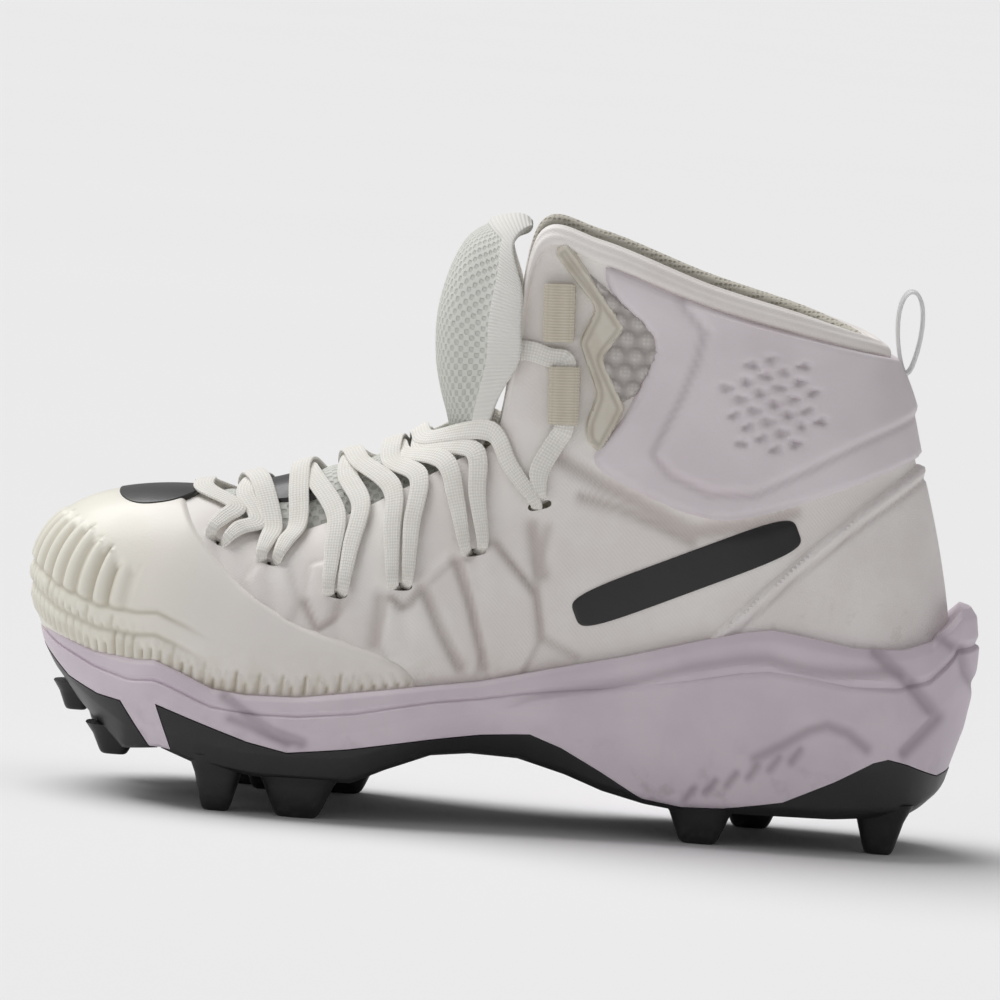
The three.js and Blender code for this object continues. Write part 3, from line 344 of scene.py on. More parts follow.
# Distances in the side view
def line_distance(points, x, z, closed=False):
    """Distance of side-view points to a line of straight pieces."""
    a = np.asarray(points, float)
    b = np.roll(a, -1, 0)
    if not closed:
        a, b = a[:-1], b[:-1]
    best = np.full(np.shape(x), 1e9)
    for (ax, az), (bx, bz) in zip(a, b):
        ex, ez = bx - ax, bz - az
        t = np.clip(((x - ax) * ex + (z - az) * ez) / (ex * ex + ez * ez), 0, 1)
        best = np.minimum(best, np.hypot(x - ax - t * ex, z - az - t * ez))
    return best


def depth_inside(points, x, z):
    """Signed distance to a closed outline, above zero inside: nearest edge, and the parity of crossings."""
    inside = np.zeros(np.shape(x), bool)
    for (ax, az), (bx, bz) in zip(points, np.roll(points, -1, 0)):
        if az != bz:
            inside ^= ((az > z) != (bz > z)) & (x < (bx - ax) * (z - az) / (bz - az) + ax)
    return line_distance(points, x, z, True) * np.where(inside, 1, -1)


def side_outline(outline, corner=2.0):
    """Outline in millimetres whose corners are cut back twice, a little along each edge."""
    points = np.asarray(outline, float) * [LENGTH, HEIGHT]
    for _ in range(2):
        ahead, back = np.roll(points, -1, 0), np.roll(points, 1, 0)
        cut_on = np.minimum(0.25, corner / np.linalg.norm(ahead - points, axis=1))[:, None]
        cut_back = np.minimum(0.25, corner / np.linalg.norm(back - points, axis=1))[:, None]
        cut_ends = [points + (back - points) * cut_back, points + (ahead - points) * cut_on]
        points = np.stack(cut_ends, 1).reshape(-1, 2)
    return points


def relief(creases, facets, x, z):
    """Height of pressed lines and raised facets over a side-view place, and the painted shade it gets:
    bell-shaped troughs, eased plateaus, painted shade in the troughs and just outside each facet's edge."""
    height, painted_shade = np.zeros((2, *np.shape(x)))
    for lift, soft, outline in facets:
        depth = depth_inside(np.array(outline, float), x, z)
        height += lift * ease(depth / soft + 0.5)
        # painted shade just outside the facet's edge
        painted_shade += 0.55 * lift * np.exp(-(((depth + soft * 0.6) / 1.1) ** 2))
    for depth, width, points in creases:
        bell = np.exp(-((line_distance(points, x, z) / width) ** 2))
        height -= depth * bell
        # painted shade along the crease
        painted_shade += max(depth, 0) * bell
    return height, painted_shade


def place_on_upper(along, up, side):
    """Ring place (u, v) whose point is nearest to a place in the side view on one side of the shoe."""
    u = np.linspace(0, LAST_RIB, 281)[:, None]
    v = np.linspace(0, 1, 121)[None, :]
    u = u if side < 0 else RING_LENGTH - u
    p = form(u, v)
    far = np.hypot(p[..., 0] - along * LENGTH, p[..., 2] - up * HEIGHT)
    i, j = np.unravel_index(np.argmin(far), far.shape)
    return float(u[i, 0]), float(v[0, j])


# Mesh making
def anchor():
    """What moves the shoe's own coordinates into the row frame, from the middle of the foam's box."""
    u = np.arange(0, RING_LENGTH, 0.5)
    rise, out = SIDEWALL.T[:, :, None]
    distance = FLARE * around(RING_FLARE, u) * out - FLARE * around(RING_TUCK, u) * (1 - rise) ** 2
    points = around(RING[:, 0], u) + foot_normal(u) * distance[..., None]
    low, high = (np.array(corner) * 1000 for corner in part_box("midsole"))
    mine = (points.reshape(-1, 3).min(0) + points.reshape(-1, 3).max(0)) / 2
    return np.array([*((low + high) / 2 - mine)[:2], 0.0])


SHIFT = anchor()


def squared(count, wide, tall):
    """Cosine and sine of count places round a circle, each raised to a power that draws it to the corners."""
    a = np.linspace(0, 2 * np.pi, count, endpoint=False)
    return np.sign(np.cos(a)) * np.abs(np.cos(a)) ** wide, np.sign(np.sin(a)) * np.abs(np.sin(a)) ** tall


def grid_faces(rows, columns, close_rows, close_columns):
    """Quads of a grid of points, with the last row or column joined to the first where it closes."""
    r = np.arange(rows if close_rows else rows - 1)[:, None]
    c = np.arange(columns if close_columns else columns - 1)[None, :]
    r2, c2 = (r + 1) % rows, (c + 1) % columns
    corners = [r * columns + c, r * columns + c2, r2 * columns + c2, r2 * columns + c]
    return np.stack(corners, -1).reshape(-1, 4)


def capped_faces(rows, columns):
    """Quads of a tube of rings round the shoe, its two ends closed by strips from side to side."""
    i = np.arange(columns // 2)
    cap = np.stack([i, i + 1, columns - i - 1, (columns - i) % columns], -1)
    cap[0, 3] = cap[0, 0]
    cap[-1, 2] = cap[-1, 1]
    cap[-1] = np.roll(cap[-1], 2)
    return np.concatenate([grid_faces(rows, columns, False, True), cap[:, ::-1], cap + (rows - 1) * columns])


def volume(points, quads):
    """Volume inside closed quads, above zero where they face out."""
    a, b, c, d = (points[quads[:, k]] for k in range(4))
    return (np.cross(b - a, c - a) * a).sum() / 6 + (np.cross(c - a, d - a) * a).sum() / 6


def mesh_of(name, points, faces, uv=None, parts=None, painted_shade=None):
    """Mesh of the shoe's millimetres in the row frame's metres, turned outwards by the sign of its volume.
    A quad whose last two numbers are the same is a triangle."""
    points = np.asarray(points, float).reshape(-1, 3)
    faces = np.asarray(faces)
    if volume(points, faces) < 0:
        faces = faces[:, ::-1]
    used, faces = np.unique(faces, return_inverse=True)
    faces = faces.reshape(-1, 4)
    points = points[used]
    three = (faces[:, 2] == faces[:, 3]) | (faces[:, 0] == faces[:, 1])
    quads = [list(dict.fromkeys(f)) if t else f for f, t in zip(faces.tolist(), three.tolist())]
    mesh = bpy.data.meshes.new(name)
    mesh.from_pydata(((points + SHIFT) / 1000).tolist(), [], quads)
    if uv is not None:
        layer = mesh.uv_layers.new(name="weave")
        loops = np.zeros(len(mesh.loops), np.int32)
        mesh.loops.foreach_get("vertex_index", loops)
        layer.data.foreach_set("uv", np.asarray(uv, float).reshape(-1, 2)[used][loops].ravel())
    # a point attribute of painted shade in the relief's troughs, read by the finishes
    if painted_shade is not None:
        layer = mesh.attributes.new("painted_shade", "FLOAT", "POINT")
        layer.data.foreach_set("value", np.clip(painted_shade, 0, 1).ravel()[used].astype(np.float32))
    if parts is not None:
        for _ in range(int(np.max(parts)) + 1):
            mesh.materials.append(None)
        mesh.polygons.foreach_set("material_index", np.asarray(parts, np.int32))
    mesh.polygons.foreach_set("use_smooth", np.ones(len(mesh.polygons), bool))
    mesh.update()
    return mesh


def object_of(mesh):
    made = bpy.data.objects.new(mesh.name, mesh)
    bpy.context.scene.collection.objects.link(made)
    return made


def finish_piece(made, finishes, nodes, sharp):
    """Gives a piece its finishes and edges, hangs it on the root, and hides the solids it stands for."""
    for k, finish in enumerate(finishes if isinstance(finishes, list) else [finishes]):
        if k < len(made.data.materials):
            made.data.materials[k] = finish
        else:
            made.data.materials.append(finish)
    made.data.set_sharp_from_angle(angle=np.radians(sharp))
    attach(made, "root")
    if nodes:
        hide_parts(*nodes)
    return made


def piece(name, points, faces, finishes, nodes, sharp, uv=None, parts=None, painted_shade=None):
    made = object_of(mesh_of(name, points, faces, uv, parts, painted_shade))
    return finish_piece(made, finishes, nodes, sharp)


def closed_tube(rows):
    """Points and faces of a tube of rings, with a fan over each end from that ring's middle."""
    count, sides = rows.shape[:2]
    i = np.arange(sides)
    j, first = (i + 1) % sides, np.full(sides, count * sides)
    base, last = (count - 1) * sides, first + 1
    fans = [np.stack([j, i, first, first], -1), np.stack([base + i, base + j, last, last], -1)]
    faces = np.concatenate([grid_faces(count, sides, False, True), *fans])
    return np.vstack([rows.reshape(-1, 3), rows[[0, -1]].mean(1)]), faces


def sheet_faces(keep):
    """Faces of a closed sheet over the kept cells of a grid: top, underside, and walls along its edge."""
    rows, columns = keep.shape[0] + 1, keep.shape[1] + 1
    index = np.arange(rows * columns).reshape(rows, columns)
    cell = np.stack([index[:-1, :-1], index[:-1, 1:], index[1:, 1:], index[1:, :-1]], -1)
    below = rows * columns
    open_ = np.pad(keep, 1)
    beside = [open_[:-2, 1:-1], open_[1:-1, 2:], open_[2:, 1:-1], open_[1:-1, :-2]]
    faces = [cell[keep], cell[keep][:, ::-1] + below]
    for k, neighbour in enumerate(beside):
        edge = cell[keep & ~neighbour]
        p, q = edge[:, k], edge[:, (k + 1) % 4]
        faces.append(np.stack([q, p, p + below, q + below], -1))
    return np.concatenate(faces)


def cut(made, tools, operation):
    """Cuts a piece by others, joins it to them or keeps their common part; the others are then removed."""
    group = bpy.data.collections.new("tools")
    for tool in tools:
        group.objects.link(tool)
    step = made.modifiers.new("cut", "BOOLEAN")
    step.operation = operation
    step.solver = "MANIFOLD"
    step.operand_type = "COLLECTION"
    step.collection = group
    bpy.context.view_layer.update()
    mesh = bpy.data.meshes.new_from_object(made.evaluated_get(bpy.context.evaluated_depsgraph_get()))
    made.modifiers.clear()
    made.data = mesh
    for tool in tools:
        bpy.data.objects.remove(tool)
    bpy.data.collections.remove(group)
    mesh.polygons.foreach_set("use_smooth", np.ones(len(mesh.polygons), bool))


# Shader maths
def srgb(r, g, b):
    """Linear colour of a screen colour."""
    c = np.array([r, g, b]) / 255
    return [*np.where(c > 0.04, ((c + 0.055) / 1.055) ** 2.4, c / 12.92), 1.0]


class Shade:
    """A shader socket that takes part in Python arithmetic: each operator adds a Math node."""

    def __init__(self, finish, socket):
        self.finish = finish
        self.socket = socket

    def math(self, operation, *others):
        inputs = dict(enumerate((self, *others)))
        return self.finish.node("Math", {"operation": operation}, inputs)

    def __add__(self, other):
        return self.math("ADD", other)

    def __sub__(self, other):
        return self.math("SUBTRACT", other)

    def __rsub__(self, other):
        return self.finish.node("Math", {"operation": "SUBTRACT"}, {0: other, 1: self})

    def __mul__(self, other):
        return self.math("MULTIPLY", other)

    __radd__ = __add__
    __rmul__ = __mul__

    def sin(self):
        return self.math("SINE")

    def above(self, low, high):
        """0 below low, 1 above high, smooth between."""
        settings = {"interpolation_type": "SMOOTHSTEP"}
        return self.finish.node("MapRange", settings, {0: self, 1: low, 2: high})


class Finish:
    """A material on one Principled shader, whose varying inputs are worked out from its other nodes."""

    def __init__(self, name, **fixed):
        self.material = bpy.data.materials.new(name)
        self.material.use_nodes = True
        self.tree = self.material.node_tree
        self.tree.nodes.clear()
        self.shader = self.tree.nodes.new("ShaderNodeBsdfPrincipled")
        output = self.tree.nodes.new("ShaderNodeOutputMaterial")
        self.tree.links.new(self.shader.outputs[0], output.inputs[0])
        for key, value in fixed.items():
            self.shader.inputs[key.replace("_", " ").title()].default_value = value
        place = self.node("TexCoord", output="Object")
        self.place = self.node("VectorMath", {"operation": "SCALE"}, {0: place, "Scale": 1000.0})

    def node(self, kind, settings=(), inputs=(), output=0):
        """Any node from its type, its settings and the values or links of its sockets."""
        made = self.tree.nodes.new("ShaderNode" + kind)
        for key, value in dict(settings).items():
            setattr(made, key, value)
        for key, value in dict(inputs).items():
            if isinstance(value, Shade):
                self.tree.links.new(value.socket, made.inputs[key])
            else:
                made.inputs[key].default_value = value
        return Shade(self, made.outputs[output])

    def axes(self, vector=None):
        """The three numbers of a vector, by default the place in millimetres."""
        split = self.node("SeparateXYZ", (), {0: vector or self.place})
        return [Shade(self, output) for output in split.socket.node.outputs]

    def weave_axes(self):
        """Along and across a strip, in millimetres, from its own map."""
        return self.axes(self.node("UVMap", {"uv_map": "weave"}))[:2]

    def noise(self, size, detail):
        """Cloudy noise from 0 to 1 with lumps of that many millimetres."""
        return self.node("TexNoise", (), {"Vector": self.place, "Scale": 1 / size, "Detail": detail})

    def cells(self, size, feature="F1", jitter=1.0):
        """Distance to the nearest point of a scattered or even lattice."""
        inputs = {"Vector": self.place, "Scale": 1 / size, "Randomness": jitter}
        return self.node("TexVoronoi", {"feature": feature}, inputs)

    def painted_shade(self):
        """Painted shade in the troughs of the piece's own relief, 0 to 1."""
        return self.node("Attribute", {"attribute_name": "painted_shade"}, (), 2)

    def blend(self, share, a, b):
        """Colour from a to b by a share from 0 to 1."""
        return self.node("Mix", {"data_type": "RGBA"}, {0: share, 6: a, 7: b}, 2)

    def feed(self, key, value):
        self.tree.links.new(value.socket, self.shader.inputs[key])

    def bump(self, height, depth, below=None):
        """Normal from a height of 0 to 1, that many millimetres deep, over another normal."""
        inputs = {"Height": height, "Distance": depth / 1000, "Strength": 1.0}
        if below:
            inputs["Normal"] = below
        return self.node("Bump", (), inputs)


# Finishes, their sizes in millimetres of the row frame
TOE_TIP = 148.7  # how far the toe's tip lies before the frame's middle


def white_shell():
    """Coated knit: fine grain, a little warm cloud, dust near the sole, painted shade in its troughs."""
    f = Finish("upper_shell", roughness=0.5, coat_weight=0.06, coat_roughness=0.4)
    x, y, z = f.axes()
    cloud = f.noise(24, 3)
    grain = f.noise(0.55, 3)
    knit = (x * 4.2).sin() * (z * 4.2 + y * 4.2).sin()
    dust = (1 - z.above(42, 62)) * f.noise(6, 4).above(0.38, 0.72)
    colour = f.blend(cloud.above(0.35, 0.7), srgb(241, 235, 231), srgb(248, 245, 241))
    colour = f.blend(dust * 0.4, colour, srgb(205, 196, 178))
    # painted shade in the relief's troughs
    colour = f.blend(f.painted_shade() * 0.6, colour, srgb(188, 176, 170))
    f.feed("Base Color", colour)
    f.feed("Roughness", 0.5 + cloud * 0.16)
    f.feed("Normal", f.bump(grain * 0.5 + knit * 0.2, 0.12))
    return f.material


def lining_knit():
    """Spacer mesh of the lining: an even lattice of small holes on soft beige grey."""
    f = Finish("collar_lining", roughness=0.9)
    holes = f.cells(1.5, jitter=0.15).above(0.15, 0.5)
    cloud = f.noise(12, 3)
    colour = f.blend(holes, srgb(176, 172, 158), srgb(214, 210, 198))
    f.feed("Base Color", f.blend(cloud * 0.4, colour, srgb(190, 184, 172)))
    f.feed("Normal", f.bump(holes, 0.3))
    return f.material


def toe_film():
    """Cream film over the toe: warmest at the tip, glossy, dusty low down, with painted shade in its grooves."""
    f = Finish("toe_film", coat_weight=0.2, coat_roughness=0.25)
    x, _, z = f.axes()
    back = (x + TOE_TIP).above(6, 76)
    low = 1 - z.above(38, 60)
    cloud = f.noise(9, 4)
    cream = f.blend(back, srgb(246, 243, 230), srgb(246, 241, 236))
    cream = f.blend(low * cloud.above(0.2, 0.8) * 0.5, cream, srgb(212, 205, 184))
    # painted shade between the ribs and in the seams
    cream = f.blend(f.painted_shade() * 0.7, cream, srgb(176, 166, 138))
    f.feed("Base Color", cream)
    f.feed("Roughness", 0.34 + cloud * 0.22)
    f.feed("Normal", f.bump(f.noise(0.8, 2), 0.06))
    return f.material


def moulded_cuff():
    """Smooth moulded foam skin: faint lilac white, fine pores, soft gloss that varies, painted shade in its
    dimples and along its bevel.
    """
    f = Finish("cuff_moulding", coat_weight=0.08, coat_roughness=0.35)
    cloud = f.noise(30, 2)
    pores = f.cells(0.9).above(0.0, 0.35)
    colour = f.blend(cloud.above(0.3, 0.7), srgb(226, 217, 221), srgb(234, 227, 231))
    # painted shade in the dimples and along the panel's bevel
    f.feed("Base Color", f.blend(f.painted_shade() * 0.65, colour, srgb(160, 148, 152)))
    f.feed("Roughness", 0.42 + cloud * 0.2)
    f.feed("Normal", f.bump(pores, 0.04))
    return f.material


def counter_skin():
    """Heel counter of smooth coated leather: tight grain, slight scuffs low at the back, painted shade in its
    sewn channel.
    """
    f = Finish("counter_moulding", coat_weight=0.08, coat_roughness=0.4)
    z = f.axes()[2]
    cells = f.cells(0.8, "DISTANCE_TO_EDGE").above(0.0, 0.18)
    cloud = f.noise(20, 3)
    scuff = f.noise(5, 5).above(0.56, 0.7) * (1 - z.above(60, 95))
    colour = f.blend(cloud.above(0.3, 0.7), srgb(240, 234, 231), srgb(247, 243, 240))
    colour = f.blend(scuff * 0.35, colour, srgb(206, 197, 190))
    # painted shade in the sewn channel
    f.feed("Base Color", f.blend(f.painted_shade() * 0.6, colour, srgb(176, 164, 162)))
    f.feed("Roughness", 0.44 + cloud * 0.16)
    f.feed("Normal", f.bump(cells, 0.05))
    return f.material


def stay_film():
    """Cream film of the zigzag stay, slightly glossy, a little browner in patches, painted shade in its channel.
    """
    f = Finish("eyestay_film", coat_weight=0.25, coat_roughness=0.3)
    cloud = f.noise(7, 3)
    colour = f.blend(cloud.above(0.35, 0.75), srgb(222, 216, 203), srgb(208, 200, 184))
    # painted shade in the channel
    f.feed("Base Color", f.blend(f.painted_shade() * 0.6, colour, srgb(140, 128, 112)))
    f.feed("Roughness", 0.36 + cloud * 0.18)
    f.feed("Normal", f.bump(f.noise(0.7, 2), 0.05))
    return f.material


def clear_film():
    """Frosted film over grey mesh: painted shade between its domes, glossy coat."""
    f = Finish("ankle_film", coat_weight=0.6, coat_roughness=0.18)
    mesh = f.cells(1.3, jitter=0.1).above(0.2, 0.5)
    cloud = f.noise(10, 3)
    colour = f.blend(mesh * 0.5, srgb(208, 203, 198), srgb(184, 178, 173))
    # painted shade between the domes
    colour = f.blend(f.painted_shade() * 0.7, colour, srgb(138, 130, 126))
    f.feed("Base Color", f.blend(cloud * 0.35, colour, srgb(176, 168, 164)))
    f.feed("Roughness", 0.34 + cloud * 0.15)
    f.feed("Normal", f.bump(mesh, 0.05))
    return f.material


def sole_foam():
    """Moulded lilac foam: fine skin, faint mottling, grime at the plate line, painted shade in its cut lines and
    under its step.
    """
    f = Finish("midsole_foam", coat_weight=0.05, coat_roughness=0.5)
    z = f.axes()[2]
    cloud = f.noise(26, 3)
    grime = f.noise(7, 5).above(0.5, 0.75) * (1 - z.above(14, 40))
    colour = f.blend(cloud.above(0.3, 0.72), srgb(214, 202, 212), srgb(223, 212, 220))
    colour = f.blend(grime * 0.45, colour, srgb(168, 155, 162))
    # painted shade in the cut lines and under the step
    f.feed("Base Color", f.blend(f.painted_shade() * 0.5, colour, srgb(150, 137, 147)))
    f.feed("Roughness", 0.46 + cloud * 0.18)
    f.feed("Normal", f.bump(f.noise(0.9, 3) * 0.7 + f.cells(2.2).above(0, 0.5) * 0.3, 0.07))
    return f.material


def plate_rubber():
    """Black moulded plate: satin, fine parting grain, worn paler on the tips and edges."""
    f = Finish("plate", coat_weight=0.12, coat_roughness=0.3)
    z = f.axes()[2]
    worn = f.noise(4, 5).above(0.44, 0.72) * (1 - z.above(2, 9))
    cloud = f.noise(14, 3)
    f.feed("Base Color", f.blend(worn * 0.6, srgb(19, 19, 21), srgb(62, 60, 58)))
    f.feed("Roughness", 0.36 + cloud * 0.2 + worn * 0.2)
    f.feed("Normal", f.bump(f.noise(0.6, 3), 0.06))
    return f.material


def tongue_mesh():
    """Open spacer mesh: rows of offset holes on green grey, paler on the ridges."""
    f = Finish("tongue_mesh", roughness=0.85)
    along, across = f.weave_axes()
    hole = ((along * 1.9).sin() * (across * 2.2).sin()).above(-0.1, 0.6)
    cloud = f.noise(16, 3)
    colour = f.blend(hole, srgb(222, 223, 217), srgb(198, 201, 193))
    f.feed("Base Color", f.blend(cloud * 0.3, colour, srgb(226, 226, 220)))
    f.feed("Normal", f.bump(1 - hole, 0.35))
    return f.material


def binding_tape():
    """Fine cross-ribbed binding."""
    f = Finish("tongue_binding", roughness=0.8)
    along, _ = f.weave_axes()
    rib = (along * 5.5).sin() * 0.5 + 0.5
    cloud = f.noise(10, 2)
    f.feed("Base Color", f.blend(rib * 0.25 + cloud * 0.3, srgb(240, 239, 234), srgb(218, 217, 211)))
    f.feed("Normal", f.bump(rib, 0.14))
    return f.material


def lace_braid():
    """Flat braid: two slanted sets of threads that cross, a little fuzz and grey."""
    f = Finish("lace_cord", roughness=0.82, sheen_weight=0.15)
    along, across = f.weave_axes()
    left = (along * 3.1 + across * 3.1).sin()
    right = (along * 3.1 - across * 3.1).sin()
    braid = (left * right).above(-0.7, 0.8)
    cloud = f.noise(8, 3)
    colour = f.blend(braid, srgb(236, 233, 225), srgb(252, 250, 246))
    f.feed("Base Color", f.blend(cloud.above(0.4, 0.8) * 0.2, colour, srgb(226, 218, 204)))
    f.feed("Normal", f.bump(braid, 0.14, f.bump(f.noise(0.25, 2), 0.04)))
    return f.material


def webbing():
    """Beige webbing with fine ribs along its length."""
    f = Finish("loop_tape", roughness=0.75)
    along, across = f.weave_axes()
    rib = (across * 7.0).sin() * 0.5 + 0.5
    weft = (along * 4.5).sin() * 0.5 + 0.5
    colour = f.blend(rib * 0.6 + weft * 0.3, srgb(206, 198, 180), srgb(229, 222, 206))
    f.feed("Base Color", f.blend(f.noise(6, 3) * 0.3, colour, srgb(190, 180, 160)))
    f.feed("Normal", f.bump(rib * 0.7 + weft * 0.3, 0.16))
    return f.material


def pull_tape():
    """Thin clear tape of the pull loop, milky and ribbed."""
    f = Finish("pull_tape", alpha=0.72, coat_weight=0.3, coat_roughness=0.3)
    _, across = f.weave_axes()
    rib = (across * 4.0).sin() * 0.5 + 0.5
    f.feed("Base Color", f.blend(rib * 0.4, srgb(240, 240, 240), srgb(224, 225, 226)))
    f.feed("Roughness", 0.4 + f.noise(6, 2) * 0.2)
    f.feed("Normal", f.bump(rib, 0.1))
    return f.material


def insole_cloth():
    """Brushed cloth over foam, with a fine twill."""
    f = Finish("insole_foam", roughness=0.92)
    x, y, _ = f.axes()
    twill = ((x + y) * 3.5).sin() * 0.5 + 0.5
    f.feed("Base Color", f.blend(twill * 0.4 + f.noise(12, 3) * 0.3, srgb(210, 208, 200), srgb(186, 184, 178)))
    f.feed("Normal", f.bump(twill, 0.15))
    return f.material


def black_mark():
    """Gloss black print with a faintly uneven skin."""
    f = Finish("black_mark", coat_weight=0.35, coat_roughness=0.2)
    cloud = f.noise(5, 3)
    f.feed("Base Color", f.blend(cloud, srgb(14, 12, 13), srgb(30, 27, 28)))
    f.feed("Roughness", 0.34 + cloud * 0.2)
    f.feed("Normal", f.bump(f.noise(1.1, 2), 0.04))
    return f.material


def floor_paint():
    """Matt pale studio floor."""
    f = Finish("floor_paint", roughness=0.9)
    cloud = f.noise(400, 2)
    f.feed("Base Color", f.blend(cloud, srgb(240, 240, 241), srgb(242, 242, 242)))
    return f.material


# Camera first: the photograph's side view, a little above the floor and rolled
CAMERA_LIFT = np.radians(4.5)
CAMERA_ROLL = np.radians(4.5)
CAMERA_FAR = 3.2
FIELD = 0.3143  # width of the picture at that distance, in metres
SENSOR = 36  # its width, in millimetres
LOOK_AT = Vector((-0.0043, 0.0005, 0.0999))


def add_camera():
    """Right and up are the level view's axes turned by the roll; back points from the shoe to the camera."""
    level_up = Vector((0, np.sin(CAMERA_LIFT), np.cos(CAMERA_LIFT)))
    back = Vector((0, -np.cos(CAMERA_LIFT), np.sin(CAMERA_LIFT)))
    right = Vector((1, 0, 0)) * np.cos(CAMERA_ROLL) + level_up * np.sin(CAMERA_ROLL)
    up = back.cross(right)
    made = bpy.data.objects.new("camera", bpy.data.cameras.new("camera"))
    made.data.sensor_width = SENSOR
    made.data.lens = SENSOR * CAMERA_FAR / FIELD
    made.data.clip_end = 200
    turned = Matrix((right, up, back)).transposed().to_4x4()
    made.matrix_world = Matrix.Translation(LOOK_AT + back * CAMERA_FAR) @ turned
    bpy.context.scene.collection.objects.link(made)
    bpy.context.scene.camera = made


def add_stage():
    """Wide pale floor, a pale sky, a soft sun high up beyond the toe, and a weak light from the near side."""
    size = 60.0
    corners = [(-size, -size, 0), (size, -size, 0), (size, size, 0), (-size, size, 0)]
    mesh = bpy.data.meshes.new("floor")
    mesh.from_pydata(corners, [], [(0, 1, 2, 3)])
    floor = bpy.data.objects.new("floor", mesh)
    mesh.materials.append(floor_paint())
    bpy.context.scene.collection.objects.link(floor)
    world = bpy.data.worlds.new("sky")
    world.use_nodes = True
    sky = world.node_tree.nodes["Background"]
    sky.inputs[0].default_value = (1.0, 0.985, 0.99, 1)
    sky.inputs[1].default_value = 0.3
    bpy.context.scene.world = world
    # name, way towards it, strength, width in degrees
    lights = [("sun", (-0.5, 0.36, 1.1), 2.3, 50), ("near", (-0.8, -0.6, 0.5), 0.12, 20)]
    for name, toward, strength, wide in lights:
        lamp = bpy.data.lights.new(name, "SUN")
        lamp.energy = strength
        lamp.angle = np.radians(wide)
        made = bpy.data.objects.new(name, lamp)
        made.rotation_euler = Vector(toward).to_track_quat("Z", "Y").to_euler()
        bpy.context.scene.collection.objects.link(made)
    bpy.context.scene.view_settings.view_transform = "Standard"


add_camera()
add_stage()


# Sole
def sole_block(name, grow, columns, carve):
    """The sole as one closed block: round the foot line, each side point stands off by flare, less the tuck,
    and rises from the underside line to the rim line. carve cuts the side's lines and steps, with painted shade
    in the lines and under the step."""
    u = np.linspace(0, RING_LENGTH, columns, endpoint=False)
    fine = np.unique(np.concatenate([np.linspace(0, 1, 66), [0.02, 0.75, 0.765, 0.775, 0.79, 0.985, 0.995]]))
    rise = fine[:, None]
    out = np.interp(fine, *SIDEWALL.T)[:, None]
    flare = FLARE * around(RING_FLARE, u)
    tuck = FLARE * around(RING_TUCK, u) * (1 - rise) ** 2
    distance = flare * out - tuck + grow
    foot, outward = around(RING[:, 0], u), foot_normal(u)
    points = foot + outward * distance[..., None]
    low, high = line_at(UNDERSIDE, points[..., 0]), line_at(RIM, points[..., 0])
    points[..., 2] = low + (high + grow - low) * rise
    painted_shade = np.zeros(points.shape[:2])
    if carve:
        x, z = points[..., 0], points[..., 2]
        # depth of the cut lines, and the painted shade in them
        lift, painted_shade = relief(SOLE_CREASES, [], x, z)
        step = z - np.interp(x, *STEP_LINE.T)
        reach = ease((x - 148) / 16) * ease((276 - x) / 7)
        lift += reach * (1.5 * ease(0.5 - step / 1.4) - 0.9 * np.exp(-(((step - 3.5) / 3) ** 2)))
        # painted shade just under the step's ledge
        painted_shade += reach * 0.7 * np.exp(-(((step - 1.4) / 1.5) ** 2))
        points += outward * (lift * ease(rise * 12))[..., None]
    return object_of(mesh_of(name, points, capped_faces(len(fine), columns), painted_shade=painted_shade))


def filled_form(grow):
    """The form of the foot, filled and grown a little: what the sole's seat is cut with."""
    columns = RING_LENGTH * 12
    u = np.linspace(0, RING_LENGTH, columns, endpoint=False)
    v = np.linspace(0, 1, 25)[:, None]
    points = off(u, v, np.full((25, columns), grow))
    points[0, :, 2] = form(u, 0)[..., 2] - grow
    return object_of(mesh_of("seat", points, capped_faces(25, columns)))


def split_prism(over):
    """Everything over or under the line between plate and foam, moved off it by half the gap."""
    line = SPLIT * [LENGTH, SOLE_STACK] + [0, STUD_LENGTH]
    before = unit(np.diff(line, axis=0, prepend=line[:1] - (line[1:2] - line[:1])))
    after = unit(np.diff(line, axis=0, append=line[-1:] + (line[-1:] - line[-2:-1])))
    way = unit(before + after)
    stretch = 1 / np.maximum((way * before).sum(1, keepdims=True), 0.3)
    shift = (GAP if over else -GAP) / 2
    line = line + np.stack([-way[:, 1], way[:, 0]], 1) * shift * stretch
    far = HEIGHT if over else -HEIGHT
    ring = np.vstack([line, [line[-1, 0], far], [line[0, 0], far]])
    count = len(ring)
    mesh = bpy.data.meshes.new("split")
    points = [(x, y, z) for y in (-BALL_WIDTH, BALL_WIDTH) for x, z in ring]
    sides = [(k, (k + 1) % count, (k + 1) % count + count, k + count) for k in range(count)]
    faces = [tuple(range(count))[::-1], tuple(range(count, 2 * count)), *sides]
    mesh.from_pydata(((np.array(points) + SHIFT) / 1000).tolist(), [], faces)
    made = object_of(mesh)
    if over:
        mesh.flip_normals()
    return made


def stud(along, out, long, wide, tip):
    """A blade that narrows from the plate to its tip: rounded squares, swept down by the taper."""
    x, y = along * LENGTH, out * BALL_WIDTH / 2
    root = line_at(UNDERSIDE, x) + SOLE_STACK * 0.14
    low = tip * STUD_LENGTH
    down = np.concatenate([np.linspace(0, 0.93, 14), [0.96, 0.985, 1.0]])
    size = np.interp(down, *STUD_TAPER.T)
    size[-3:] *= [0.99, 0.96, 0.88]
    section = np.stack(squared(40, 0.62, 0.62), -1)
    half = np.array([long * LENGTH / 2, wide * BALL_WIDTH / 4])
    rows = np.zeros((len(down), 40, 3))
    rows[..., :2] = [x, y] + section * half * size[:, None, None]
    rows[..., 2] = (root + (low - root) * down)[:, None]
    return object_of(mesh_of("stud", *closed_tube(rows)))


